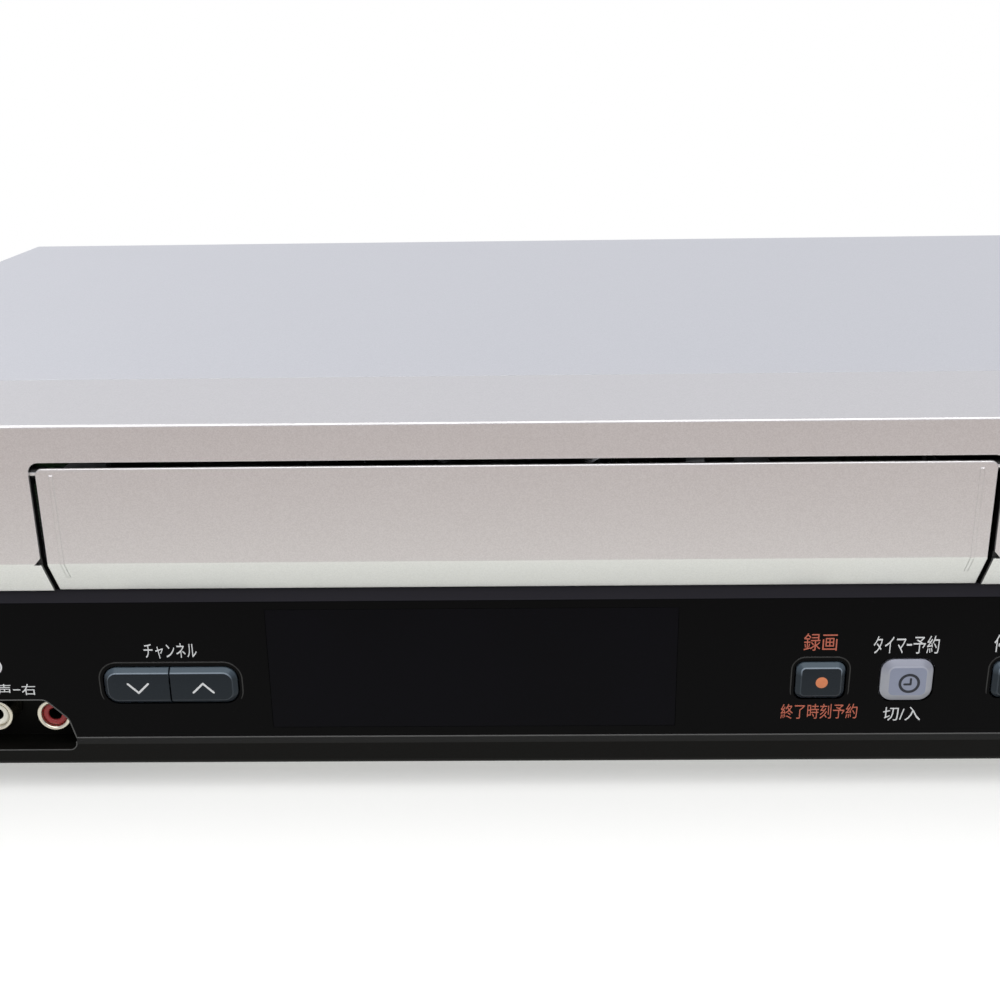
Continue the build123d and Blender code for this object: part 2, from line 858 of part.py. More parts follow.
# Four moulded feet with a hollow tread
foot_radius = 14.0
foot_taper = 8.0
foot_rim = 5.0
foot_hollow = 2.0
with BuildPart() as feet:
    with BuildSketch(level(base_z)):
        with Locations(*foot_places):
            Circle(foot_radius)
    extrude(amount=-foot_height, taper=foot_taper)
    with BuildSketch(level(0)):
        with Locations(*foot_places):
            Circle(foot_radius - foot_rim)
    extrude(amount=foot_hollow, mode=Mode.SUBTRACT)
finish(feet.part, "feet")

# Cover screws: pan heads outside the cover, shanks into the tray's flanges
screw_head_radius = 3.2
screw_head_height = 1.4
screw_shank_radius = 1.25
screw_shank_length = 5.0
cross_length = 3.6
cross_width = 0.7
cross_depth = 0.9
with BuildPart() as cover_screws:
    for side in (-1, 1):
        with BuildSketch(side_on(side * cover_width / 2)):
            with Locations(*[(y, screw_z) for y in screw_y]):
                Circle(screw_head_radius)
        extrude(amount=side * screw_head_height)
        with BuildSketch(side_on(side * cover_width / 2)):
            with Locations(*[(y, screw_z) for y in screw_y]):
                Circle(screw_shank_radius)
        extrude(amount=-side * screw_shank_length)
        with BuildSketch(side_on(side * (cover_width / 2 + screw_head_height))):
            for y in screw_y:
                with Locations((y, screw_z)):
                    Rectangle(cross_length, cross_width)
                    Rectangle(cross_width, cross_length)
        extrude(amount=-side * cross_depth, mode=Mode.SUBTRACT)
finish(cover_screws.part, "cover_screws")

# Rear panel with holes for the aerial sockets, phono block and inlet
rear_panel_top = height - cover_sheet - seam
aerial_z = floor_top + tuner_height / 2 + 4.0
block_z = base_z + 30.0
inlet_gap = 0.2
rear_vent_x = 60.0
rear_vent_z = base_z + 50.0
rear_vent_length = 24.0
rear_vent_width = 2.6
rear_vent_pitch = 8.0
rear_vent_count = 9
jack_rows = [
    (block_x + column * block_pitch_x, block_z + row * block_pitch_z)
    for column in (-1, 0, 1)
    for row in (-0.5, 0.5)
]
with BuildPart() as rear_panel:
    with BuildSketch(facing_front(rear_inner)) as rear_outline:
        with Locations((0, (base_z + rear_panel_top) / 2)):
            Rectangle(2 * tray_half_width, rear_panel_top - base_z)
        fillet(rear_outline.vertices().group_by(Axis.Y)[-1], cover_bend)
        for side in (-1, 1):
            with Locations((tuner_x + side * aerial_pitch / 2, aerial_z)):
                Circle(aerial_radius + socket_shoulder + slide_gap, mode=Mode.SUBTRACT)
        with Locations(*jack_rows):
            Circle(jack_shell_radius + socket_shoulder + slide_gap, mode=Mode.SUBTRACT)
        with Locations((inlet_x, inlet_z)):
            Rectangle(inlet_width + 2 * inlet_gap, inlet_height + 2 * inlet_gap, mode=Mode.SUBTRACT)
        with Locations((rear_vent_x, rear_vent_z)):
            with GridLocations(rear_vent_pitch, rear_vent_length, rear_vent_count, 1):
                SlotOverall(rear_vent_length, rear_vent_width, rotation=90, mode=Mode.SUBTRACT)
    extrude(amount=-(rear_outer - rear_inner))
finish(rear_panel.part, "rear_panel")

# Tuner can with two threaded aerial sockets
aerial_wall = 1.2
aerial_bore_depth = 8.0
tuner_edge = 1.0
sockets = [(tuner_x + side * aerial_pitch / 2, aerial_z) for side in (-1, 1)]
with BuildPart() as tuner_box:
    with BuildSketch(facing_front(rear_inner)):
        with Locations((tuner_x, board_top + tuner_height / 2)):
            Rectangle(tuner_width, tuner_height)
    extrude(amount=tuner_depth)
    fillet(tuner_box.edges().filter_by(Axis.Y), tuner_edge)
    with BuildSketch(facing_front(rear_inner)):
        with Locations(*sockets):
            Circle(aerial_radius + socket_shoulder)
    extrude(amount=-(shoulder_end - rear_inner))
    with BuildSketch(facing_front(shoulder_end)):
        with Locations(*sockets):
            Circle(aerial_radius)
    extrude(amount=-(rear_y - shoulder_end))
    with BuildSketch(facing_front(rear_y)):
        with Locations(*sockets):
            Circle(aerial_radius - aerial_wall)
    extrude(amount=aerial_bore_depth, mode=Mode.SUBTRACT)
finish(tuner_box.part, "tuner_box")

# Rear phono block: moulded body on the main board, six shells through the panel
block_depth = 14.0
with BuildPart() as rear_jack_block:
    with BuildSketch(level(board_top)):
        with Locations((block_x, rear_inner - block_depth / 2)):
            Rectangle(block_width, block_depth)
    extrude(amount=block_z + block_height / 2 - board_top)
    with BuildSketch(facing_front(rear_inner)):
        with Locations(*jack_rows):
            Circle(jack_shell_radius + socket_shoulder)
    extrude(amount=-(shoulder_end - rear_inner))
    with BuildSketch(facing_front(shoulder_end)):
        with Locations(*jack_rows):
            Circle(jack_shell_radius)
    extrude(amount=-(rear_y - phono_setback - shoulder_end))
    with BuildSketch(facing_front(rear_y - phono_setback)):
        with Locations(*jack_rows):
            Circle(jack_bore_radius)
    extrude(amount=jack_bore_depth, mode=Mode.SUBTRACT)
finish(rear_jack_block.part, "rear_jack_block")

# Two-pin mains inlet: flanged housing with an open well and two blades
inlet_flange = 4.0
inlet_flange_thickness = 1.6
inlet_corner = 3.0
inlet_floor = 2.0
inlet_well_width = inlet_width - 4.0
inlet_well_height = inlet_height - 5.0
blade_radius = 1.2
blade_pitch = 8.0
blade_length = 10.0
inlet_face = rear_outer + inlet_flange_thickness
with BuildPart() as mains_inlet:
    with BuildSketch(facing_front(rear_outer - inlet_depth)):
        with Locations((inlet_x, inlet_z)):
            RectangleRounded(inlet_width, inlet_height, inlet_corner)
    extrude(amount=-inlet_depth)
    with BuildSketch(facing_front(rear_outer)):
        with Locations((inlet_x, inlet_z)):
            Rectangle(inlet_width + 2 * inlet_flange, inlet_height + inlet_flange)
    extrude(amount=-inlet_flange_thickness)
    with BuildSketch(facing_front(inlet_face)):
        with Locations((inlet_x, inlet_z)):
            SlotOverall(inlet_well_width, inlet_well_height)
    extrude(amount=inlet_depth - inlet_floor, mode=Mode.SUBTRACT)
    with BuildSketch(facing_front(inlet_face - inlet_depth + inlet_floor)):
        with Locations((inlet_x - blade_pitch / 2, inlet_z), (inlet_x + blade_pitch / 2, inlet_z)):
            Circle(blade_radius)
    extrude(amount=-blade_length)
finish(mains_inlet.part, "mains_inlet")

# Main board on the tray's standoffs, with holes round the deck's pillars
with BuildPart() as main_board:
    with BuildSketch(level(board_bottom)):
        with Locations((0, (board_front + board_rear) / 2)):
            Rectangle(2 * board_half_width, board_rear - board_front)
        with Locations(*pillar_places):
            Circle(pillar_radius + 1.0, mode=Mode.SUBTRACT)
    extrude(amount=board_thickness)
finish(main_board.part, "main_board")

# Parts soldered to the main board beside the deck: packages, screening can, connectors, small cans.
# The left bay lies between the board's left edge and the deck, before the tuner; the right bay
# lies between the deck and the board's right edge.
deck_left = deck_x - deck_half_width
deck_right = deck_x + deck_half_width
left_bay = deck_left + board_half_width
left_bay_depth = rear_inner - tuner_depth - board_front
right_bay = board_half_width - deck_right
package_size = 24.0
package_height = 2.4
left_package_x = -board_half_width + 0.45 * left_bay
right_package_x = deck_right + 0.32 * right_bay
left_package_y = [board_front + share * left_bay_depth for share in (0.26, 0.54)]
package_rows = (*left_package_y, board_front + 34.0)
package_places = list(zip((left_package_x, left_package_x, right_package_x), package_rows))
small_can_radius = 3.5
small_can_height = 12.0
small_can_x = (-board_half_width + 0.12 * left_bay, -board_half_width + 0.8 * left_bay)
small_can_y = [board_front + share * left_bay_depth for share in (0.13, 0.4, 0.67, 0.82)]
connector_width = 6.0
connector_length = 24.0
connector_height = 8.0
connector_x = deck_right + 10.0
connector_y = (board_front + 23.0, board_front + 58.0)
screen_can_width = 20.0
screen_can_length = 34.0
screen_can_height = 14.0
screen_can_x = -board_half_width + 0.45 * left_bay
screen_can_y = board_front + 0.79 * left_bay_depth
with BuildPart() as board_parts:
    with BuildSketch(level(board_top)):
        with Locations(*package_places):
            Rectangle(package_size, package_size)
    extrude(amount=package_height)
    with BuildSketch(level(board_top)):
        with Locations(*[(x, y) for x in small_can_x for y in small_can_y]):
            Circle(small_can_radius)
    extrude(amount=small_can_height)
    with BuildSketch(level(board_top)):
        with Locations(*[(connector_x, y) for y in connector_y]):
            Rectangle(connector_width, connector_length)
    extrude(amount=connector_height)
    with BuildSketch(level(board_top)):
        with Locations((screen_can_x, screen_can_y)):
            Rectangle(screen_can_width, screen_can_length)
    extrude(amount=screen_can_height)
finish(board_parts.part, "board_parts")

# Power supply in the right bay: transformer at the rear, smoothing capacitors and heat sink before it
supply_x = deck_right + 0.506 * right_bay
supply_y = board_rear - 84.0
core_width = 44.0
core_depth = 40.0
core_height = 34.0
core_corner = 2.0
coil_width = 50.0
coil_depth = 30.0
coil_height = 18.0
coil_lift = 8.0
with BuildPart() as transformer:
    with BuildSketch(level(board_top)):
        with Locations((supply_x, supply_y)):
            Rectangle(core_width, core_depth)
    extrude(amount=core_height)
    fillet(transformer.edges().filter_by(Axis.Z), core_corner)
    with BuildSketch(level(board_top + coil_lift)):
        with Locations((supply_x, supply_y)):
            Rectangle(coil_width, coil_depth)
    extrude(amount=coil_height)
finish(transformer.part, "transformer")

large_capacitor_radius = 11.0
large_capacitor_height = 32.0
large_capacitor_x = board_half_width - 21.7
large_capacitor_y = (supply_y - 50.0, supply_y - 75.0)
capacitor_radius = 6.5
capacitor_height = 24.0
capacitor_y = (supply_y - 50.0, supply_y - 68.0, supply_y - 86.0)
sink_x = deck_right + 0.244 * right_bay
sink_y = supply_y - 46.0
sink_thickness = 3.0
sink_length = 50.0
sink_height = 30.0
fin_reach = 9.4
fin_thickness = 1.2
fin_pitch = 8.0
fin_count = 6
with BuildPart() as power_capacitors:
    with BuildSketch(level(board_top)):
        with Locations(*[(large_capacitor_x, y) for y in large_capacitor_y]):
            Circle(large_capacitor_radius)
    extrude(amount=large_capacitor_height)
    with BuildSketch(level(board_top)):
        with Locations(*[(supply_x, y) for y in capacitor_y]):
            Circle(capacitor_radius)
    extrude(amount=capacitor_height)
    with BuildSketch(level(board_top)):
        with Locations((sink_x, sink_y)):
            Rectangle(sink_thickness, sink_length)
        with Locations((sink_x + sink_thickness / 2 + fin_reach / 2, sink_y)):
            with GridLocations(fin_reach, fin_pitch, 1, fin_count):
                Rectangle(fin_reach, fin_thickness)
    extrude(amount=sink_height)
finish(power_capacitors.part, "power_capacitors")

# Key board on the panel's bosses, with a tact switch behind every key
front_board_inset = wall + 6.0
with BuildPart() as front_board:
    with BuildSketch(facing_front(front_board_y)):
        with Locations((0, panel_top - wall - seam - front_board_height / 2)):
            Rectangle(width - 2 * front_board_inset, front_board_height)
    extrude(amount=-board_thickness)
    with BuildSketch(facing_front(front_board_y)):
        with Locations(*[(x, key_row_z) for x in switch_x]):
            Rectangle(switch_size, switch_size)
    extrude(amount=switch_height)
    with BuildSketch(facing_front(front_board_y - switch_height)):
        with Locations(*[(x, key_row_z) for x in switch_x]):
            Circle(switch_cap_radius)
    extrude(amount=switch_cap_height)
finish(front_board.part, "front_board")

# Display tube: glass envelope on a pin bar, behind the window
tube_bevel = 0.8
pin_bar = 2.0
pin_bar_inset = 3.0
tube_front = front_board_y - pin_bar - tube_depth
with BuildPart() as display_tube:
    with BuildSketch(facing_front(tube_front)):
        with Locations((window_x, window_z)):
            Rectangle(tube_width, tube_height)
    extrude(amount=-tube_depth)
    chamfer(display_tube.faces().sort_by(Axis.Y)[0].edges(), tube_bevel)
    with BuildSketch(facing_front(tube_front + tube_depth)):
        with Locations((window_x, window_z - tube_height / 2 + pin_bar)):
            Rectangle(tube_width - 2 * pin_bar_inset, pin_bar)
    extrude(amount=-pin_bar)
finish(display_tube.part, "display_tube")

# Deck chassis: pressed plate with reel, pinch and tension studs, guide slots and the drum window
reel_places = [(deck_x + side * reel_spacing / 2, reel_y) for side in (-1, 1)]
guide_run = math.hypot(guide_end[0] - guide_start[0], guide_end[1] - guide_start[1])
guide_angle = math.degrees(math.atan2(guide_end[1] - guide_start[1], guide_end[0] - guide_start[0]))
guide_middle = ((guide_start[0] + guide_end[0]) / 2, (guide_start[1] + guide_end[1]) / 2)
pinch_stud_top = pinch_arm_level + pinch_arm_sheet + 5.0
tension_at = (deck_x + tension_pivot[0], tension_pivot[1])
stator_post_start = 60.0
post_radius_below = 2.0
pinion_hole = 1.5
deck_hole_radius = 12.0
deck_hole_x = 70.0
deck_hole_y = deck_front + 22.0
reel_stud_setback = 2.0
pinch_collar_radius = pinch_stud_radius + 2.5
pinch_collar_height = 2.7
tension_stud_radius = 2.0
tension_stud_height = 10.0
tension_collar_radius = 4.0
tension_collar_height = 2.2
cam_stud_radius = 3.0
cam_stud_end = cam_bottom - 0.3
with BuildPart() as deck_chassis:
    with BuildSketch(level(deck_under)):
        with Locations((deck_x, (deck_front + deck_rear) / 2)):
            Rectangle(2 * deck_half_width, deck_rear - deck_front)
        with Locations((drum_foot_x, drum_y)):
            Circle(drum_window_radius, mode=Mode.SUBTRACT)
        with Locations((capstan_x, capstan_y)):
            Circle(bearing_radius + seam, mode=Mode.SUBTRACT)
        with Locations((deck_x, idler_pivot_y)):
            Circle(idler_shaft_radius + running_gap, mode=Mode.SUBTRACT)
        with Locations((pinion_x, pinion_y)):
            Circle(pinion_hole, mode=Mode.SUBTRACT)
        for side in (-1, 1):
            slot_angle = side * guide_angle
            with Locations((deck_x + side * guide_middle[0], guide_middle[1])):
                SlotCenterToCenter(guide_run, guide_slot_width, rotation=slot_angle, mode=Mode.SUBTRACT)
            with Locations((deck_x + side * deck_hole_x, deck_hole_y)):
                Circle(deck_hole_radius, mode=Mode.SUBTRACT)
    extrude(amount=deck_sheet)
    with BuildSketch(level(deck_top)):
        with Locations(*reel_places):
            Circle(reel_stud_radius)
    extrude(amount=reel_top - deck_top - reel_stud_setback)
    with BuildSketch(level(deck_top)):
        with Locations((pinch_pivot_x, pinch_pivot_y)):
            Circle(pinch_stud_radius)
    extrude(amount=pinch_stud_top - deck_top)
    with BuildSketch(level(deck_top)):
        with Locations((pinch_pivot_x, pinch_pivot_y)):
            Circle(pinch_collar_radius)
    extrude(amount=pinch_collar_height)
    with BuildSketch(level(deck_top)):
        with Locations(tension_at):
            Circle(tension_stud_radius)
    extrude(amount=tension_stud_height)
    with BuildSketch(level(deck_top)):
        with Locations(tension_at):
            Circle(tension_collar_radius)
    extrude(amount=tension_collar_height)
    with BuildSketch(level(deck_under)):
        with Locations((cam_x, cam_y)):
            Circle(cam_stud_radius)
    extrude(amount=cam_stud_end - deck_under)
    with BuildSketch(level(deck_under)):
        with Locations((capstan_x, capstan_y)):
            with PolarLocations(stator_post_circle, 3, start_angle=stator_post_start):
                Circle(post_radius_below)
    extrude(amount=stator_plate_bottom + stator_plate - deck_under)
finish(deck_chassis.part, "deck_chassis")

# Drum: everything stands on an axis that leans to the right
lean = math.radians(drum_tilt)
drum_centre = (deck_x, drum_y, tape_centre_z)
drum_plane = Plane(
    origin=drum_centre,
    x_dir=(math.cos(lean), 0, -math.sin(lean)),
    z_dir=(math.sin(lean), 0, math.cos(lean)),
)
drum_gap = 0.3
rotor_gap = 2.0
rotor_height = 3.0
stator_gap = 0.7
stator_height = 1.6
leg_length = 8.0
leg_cut = 12.0
leg_count = 3
leg_start = 60.0
lower_drum_top = -drum_gap
lower_drum_bottom = lower_drum_top - lower_drum_height
ring_bottom = lower_drum_bottom - drum_ring_height
rotor_top = lower_drum_bottom - rotor_gap
rotor_bottom = rotor_top - rotor_height
stator_top = rotor_bottom - stator_gap
stator_bottom = stator_top - stator_height

with BuildPart() as drum_base:
    with BuildSketch(drum_plane.offset(ring_bottom)):
        Circle(drum_ring_radius)
        Circle(stator_radius + seam, mode=Mode.SUBTRACT)
    extrude(amount=drum_ring_height)
    with BuildSketch(drum_plane.offset(stator_bottom)):
        Circle(drum_skirt_radius)
        Circle(stator_radius + seam, mode=Mode.SUBTRACT)
    extrude(amount=ring_bottom - stator_bottom)
    with BuildSketch(drum_plane.offset(ring_bottom)):
        with PolarLocations(leg_circle, leg_count, start_angle=leg_start):
            Circle(leg_radius)
    extrude(amount=-leg_length)
    with BuildSketch(level(deck_top)):
        with Locations((drum_foot_x, drum_y)):
            Circle(2 * drum_ring_radius)
            Circle(drum_window_radius - seam, mode=Mode.SUBTRACT)
    extrude(amount=-leg_cut, mode=Mode.SUBTRACT)
finish(drum_base.part, "drum_base")

lead_width = 0.25
lead_height = 3.6
with BuildPart() as lower_drum:
    with BuildSketch(drum_plane.offset(lower_drum_bottom)):
        Circle(drum_radius)
        Circle(drum_shaft_radius + running_gap, mode=Mode.SUBTRACT)
    extrude(amount=lower_drum_height)
    with BuildSketch(drum_plane.offset(lower_drum_bottom)):
        Circle(drum_radius)
        Circle(drum_radius - lead_width, mode=Mode.SUBTRACT)
    extrude(amount=lead_height, mode=Mode.SUBTRACT)
finish(lower_drum.part, "lower_drum")

head_slots = 4
head_slot_length = 4.0
head_slot_depth = 3.0
head_slot_height = 1.6
drum_rim = 4.0
drum_hub_radius = 9.0
drum_dish = 3.0
with BuildPart() as upper_drum:
    with BuildSketch(drum_plane):
        Circle(drum_radius)
    extrude(amount=upper_drum_height)
    with BuildSketch(drum_plane.offset(upper_drum_height)):
        Circle(drum_radius - drum_rim)
        Circle(drum_hub_radius, mode=Mode.SUBTRACT)
    extrude(amount=-drum_dish, mode=Mode.SUBTRACT)
    with BuildSketch(drum_plane):
        with PolarLocations(drum_radius - head_slot_depth / 2, head_slots):
            Rectangle(head_slot_length, head_slot_depth)
    extrude(amount=head_slot_height, mode=Mode.SUBTRACT)
    with BuildSketch(drum_plane.offset(rotor_bottom)):
        Circle(drum_shaft_radius)
    extrude(amount=-rotor_bottom)
    with BuildSketch(drum_plane.offset(rotor_bottom)):
        Circle(rotor_radius)
    extrude(amount=rotor_top - rotor_bottom)
finish(upper_drum.part, "upper_drum")

stator_hole = 6.0
with BuildPart() as drum_motor:
    with BuildSketch(drum_plane.offset(stator_bottom)):
        Circle(stator_radius)
        Circle(stator_hole, mode=Mode.SUBTRACT)
    extrude(amount=stator_top - stator_bottom)
finish(drum_motor.part, "drum_motor")

# Capstan: ground shaft with the flywheel and belt pulley below the deck
flywheel_top = flywheel_bottom + flywheel_height
with BuildPart() as capstan:
    with BuildSketch(level(flywheel_bottom)):
        with Locations((capstan_x, capstan_y)):
            Circle(flywheel_radius)
    extrude(amount=flywheel_height)
    with BuildSketch(level(flywheel_top)):
        with Locations((capstan_x, capstan_y)):
            Circle(capstan_pulley_radius)
    extrude(amount=capstan_pulley_height)
    with BuildSketch(level(flywheel_top)):
        with Locations((capstan_x, capstan_y)):
            Circle(capstan_radius)
    extrude(amount=capstan_top - flywheel_top)
finish(capstan.part, "capstan")

# Capstan motor: bearing housing through the deck, and the coil plate under the flywheel
housing_bottom = flywheel_top + capstan_pulley_height + 0.4
housing_top = deck_top + 5.0
collar_radius = bearing_radius + 3.5
collar_height = 2.0
stator_margin = 3.0
with BuildPart() as capstan_motor:
    with BuildSketch(level(housing_bottom)):
        with Locations((capstan_x, capstan_y)):
            Circle(bearing_radius)
    extrude(amount=housing_top - housing_bottom)
    with BuildSketch(level(deck_top)):
        with Locations((capstan_x, capstan_y)):
            Circle(collar_radius)
    extrude(amount=collar_height)
    with BuildSketch(level(housing_bottom)):
        with Locations((capstan_x, capstan_y)):
            Circle(capstan_radius + running_gap)
    extrude(amount=housing_top - housing_bottom, mode=Mode.SUBTRACT)
    with BuildSketch(level(stator_plate_bottom)):
        with Locations((capstan_x, capstan_y)):
            Circle(stator_post_circle + stator_margin)
            Circle(bearing_radius, mode=Mode.SUBTRACT)
    extrude(amount=stator_plate)
finish(capstan_motor.part, "capstan_motor")

# Reel pulley: belt groove below the deck, shaft through it and the idler's drive hub above
pulley_flange_radius = reel_pulley_radius + reel_pulley_flange
pulley_flange_height = 0.5
groove_height = belt_width + 0.6
pulley_top = pulley_bottom + groove_height + 2 * pulley_flange_height
shaft_top = idler_level + idler_height + 1.0
with BuildPart() as reel_pulley:
    with BuildSketch(side_on(deck_x)):
        with BuildLine():
            Polyline(
                (idler_pivot_y, pulley_bottom),
                (idler_pivot_y + pulley_flange_radius, pulley_bottom),
                (idler_pivot_y + pulley_flange_radius, pulley_bottom + pulley_flange_height),
                (idler_pivot_y + reel_pulley_radius, pulley_bottom + pulley_flange_height),
                (idler_pivot_y + reel_pulley_radius, pulley_top - pulley_flange_height),
                (idler_pivot_y + pulley_flange_radius, pulley_top - pulley_flange_height),
                (idler_pivot_y + pulley_flange_radius, pulley_top),
                (idler_pivot_y + idler_shaft_radius, pulley_top),
                (idler_pivot_y + idler_shaft_radius, idler_level),
                (idler_pivot_y + idler_hub_radius, idler_level),
                (idler_pivot_y + idler_hub_radius, idler_level + idler_height),
                (idler_pivot_y + idler_shaft_radius, idler_level + idler_height),
                (idler_pivot_y + idler_shaft_radius, shaft_top),
                (idler_pivot_y, shaft_top),
                close=True,
            )
        make_face()
    revolve(axis=Axis((deck_x, idler_pivot_y, 0), (0, 0, 1)))
finish(reel_pulley.part, "reel_pulley")

# Flat belt from the capstan pulley to the reel pulley
belt_level = pulley_bottom + pulley_flange_height + (groove_height - belt_width) / 2


def belt_outline(extra):
    """Belt loop round both pulleys, at a distance outside their rims."""
    with BuildSketch() as loop:
        with Locations((capstan_x, capstan_y)):
            Circle(capstan_pulley_radius + extra)
        with Locations((deck_x, idler_pivot_y)):
            Circle(reel_pulley_radius + extra)
        make_hull()
    return loop.sketch


with BuildPart() as reel_belt:
    with BuildSketch(level(belt_level)):
        add(belt_outline(belt_gap + belt_thickness))
        add(belt_outline(belt_gap), mode=Mode.SUBTRACT)
    extrude(amount=belt_width)
finish(reel_belt.part, "reel_belt")

# Idler arm on the reel pulley's shaft, with a stud for the idler wheel
arm_level = deck_top + slide_gap
arm_sheet = idler_level - slide_gap - arm_level
arm_width = 8.0
with BuildPart() as idler_arm:
    with BuildSketch(level(arm_level)):
        with Locations((deck_x, idler_pivot_y + idler_reach / 2)):
            SlotCenterToCenter(idler_reach, arm_width, rotation=90)
        with Locations((deck_x, idler_pivot_y)):
            Circle(idler_shaft_radius + running_gap, mode=Mode.SUBTRACT)
    extrude(amount=arm_sheet)
    with BuildSketch(level(arm_level)):
        with Locations((deck_x, idler_pivot_y + idler_reach)):
            Circle(idler_shaft_radius)
    extrude(amount=shaft_top - arm_level)
finish(idler_arm.part, "idler_arm")

with BuildPart() as idler_wheel:
    with BuildSketch(level(idler_level)):
        with Locations((deck_x, idler_pivot_y + idler_reach)):
            Circle(idler_wheel_radius)
            Circle(idler_shaft_radius + running_gap, mode=Mode.SUBTRACT)
    extrude(amount=idler_height)
finish(idler_wheel.part, "idler_wheel")

# Reel tables: disc, hub and three drive splines, turning on the deck's studs
spline_length = 1.9
spline_width = 2.0
hub_bevel = 0.8
hub_cap = 1.5
for name, (x, y) in zip(("supply_reel", "take_up_reel"), reel_places):
    with BuildPart() as reel:
        with BuildSketch(level(reel_disc_bottom)):
            with Locations((x, y)):
                Circle(reel_disc_radius)
        extrude(amount=reel_disc_height)
        with BuildSketch(level(reel_disc_bottom + reel_disc_height)):
            with Locations((x, y)):
                Circle(reel_hub_radius)
                with PolarLocations(reel_hub_radius, 3):
                    Rectangle(2 * spline_length, spline_width)
        extrude(amount=reel_top - reel_disc_bottom - reel_disc_height)
        chamfer(reel.faces().sort_by(Axis.Z)[-1].edges(), hub_bevel)
        with BuildSketch(level(reel_disc_bottom)):
            with Locations((x, y)):
                Circle(reel_stud_radius + running_gap)
        extrude(amount=reel_top - reel_disc_bottom - hub_cap, mode=Mode.SUBTRACT)
    finish(reel.part, name)

# Pinch arm, swung towards the capstan about the deck's stud, and its rubber roller
contact = pinch_roller_radius + capstan_radius + slide_gap
contact_x = capstan_x + contact * math.cos(math.radians(pinch_contact_angle)) - pinch_pivot_x
contact_y = capstan_y + contact * math.sin(math.radians(pinch_contact_angle)) - pinch_pivot_y
pinch_reach = math.hypot(contact_x, contact_y)
pinch_rest = math.degrees(math.atan2(contact_y, contact_x)) - pinch_open_angle
roller_x = pinch_pivot_x + pinch_reach * math.cos(math.radians(pinch_rest))
roller_y = pinch_pivot_y + pinch_reach * math.sin(math.radians(pinch_rest))
roller_stud_radius = 1.5
roller_stud_top = roller_bottom + roller_height + 1.5
roller_hub_radius = 3.0
roller_bevel = 0.5
pinch_sleeve_radius = 5.0
pinch_sleeve_bottom = deck_top + 3.0
pinch_sleeve_top = pinch_stud_top - 1.0
hub_bottom = pinch_arm_level + pinch_arm_sheet + slide_gap
with BuildPart() as pinch_arm:
    with BuildSketch(level(pinch_arm_level)):
        with Locations(((pinch_pivot_x + roller_x) / 2, (pinch_pivot_y + roller_y) / 2)):
            SlotCenterToCenter(pinch_reach, arm_width, rotation=pinch_rest)
    extrude(amount=pinch_arm_sheet)
    with BuildSketch(level(pinch_sleeve_bottom)):
        with Locations((pinch_pivot_x, pinch_pivot_y)):
            Circle(pinch_sleeve_radius)
    extrude(amount=pinch_sleeve_top - pinch_sleeve_bottom)
    with BuildSketch(level(deck_top)):
        with Locations((pinch_pivot_x, pinch_pivot_y)):
            Circle(pinch_stud_radius + running_gap)
    extrude(amount=pinch_stud_top - deck_top, mode=Mode.SUBTRACT)
    with BuildSketch(level(pinch_arm_level)):
        with Locations((roller_x, roller_y)):
            Circle(roller_stud_radius)
    extrude(amount=roller_stud_top - pinch_arm_level)
finish(pinch_arm.part, "pinch_arm")

with BuildPart() as pinch_roller:
    with BuildSketch(level(roller_bottom)):
        with Locations((roller_x, roller_y)):
            Circle(pinch_roller_radius)
    extrude(amount=roller_height)
    chamfer(pinch_roller.faces().filter_by(GeomType.PLANE).edges(), roller_bevel)
    with BuildSketch(level(hub_bottom)):
        with Locations((roller_x, roller_y)):
            Circle(roller_hub_radius)
    extrude(amount=roller_bottom - hub_bottom)
    with BuildSketch(level(pinch_arm_level)):
        with Locations((roller_x, roller_y)):
            Circle(roller_stud_radius + running_gap)
    extrude(amount=roller_stud_top - pinch_arm_level, mode=Mode.SUBTRACT)
finish(pinch_roller.part, "pinch_roller")

# Tape guide carriages: base in the deck's slot, roller post and slant post
slot_play = 0.3
clip_radius = 4.5
clip_height = 1.0
guide_base_top = deck_top + slide_gap + guide_base_height
guide_post_radius = 1.5
flange_level = guide_base_top + 2.5
flange_margin = 0.7
flange_height = 1.2
guide_cap = 2.0
slant_radius = 1.1
slant_length = 20.0
slant_setback = 4.2
slant_sink = 0.5
for name, side in (("supply_guide", -1), ("take_up_guide", 1)):
    guide_x = deck_x + side * guide_start[0]
    guide_y = guide_start[1]
    with BuildPart() as guide:
        with BuildSketch(level(deck_top + slide_gap)):
            with Locations((guide_x, guide_y)):
                SlotOverall(guide_base_length, guide_base_width, rotation=side * guide_angle)
        extrude(amount=guide_base_height)
        with BuildSketch(level(deck_under - slide_gap)):
            with Locations((guide_x, guide_y)):
                Circle(guide_slot_width / 2 - slot_play)
        extrude(amount=deck_sheet + 2 * slide_gap)
        with BuildSketch(level(deck_under - slide_gap)):
            with Locations((guide_x, guide_y)):
                Circle(clip_radius)
        extrude(amount=-clip_height)
        with BuildSketch(level(guide_base_top)):
            with Locations((guide_x, guide_y)):
                Circle(guide_post_radius)
        extrude(amount=guide_top - guide_base_top)
        with BuildSketch(level(flange_level)):
            with Locations((guide_x, guide_y)):
                Circle(guide_roller_radius)
        extrude(amount=guide_top - guide_cap - flange_level)
        with BuildSketch(level(flange_level)):
            with Locations((guide_x, guide_y)):
                Circle(guide_roller_radius + flange_margin)
        extrude(amount=flange_height)
        slant_foot = (guide_x, guide_y - slant_setback, guide_base_top - slant_sink)
        slant = Plane(origin=slant_foot, z_dir=(side * 0.12, -0.05, 1))
        with BuildSketch(slant):
            Circle(slant_radius)
        extrude(amount=slant_length)
    finish(guide.part, name)

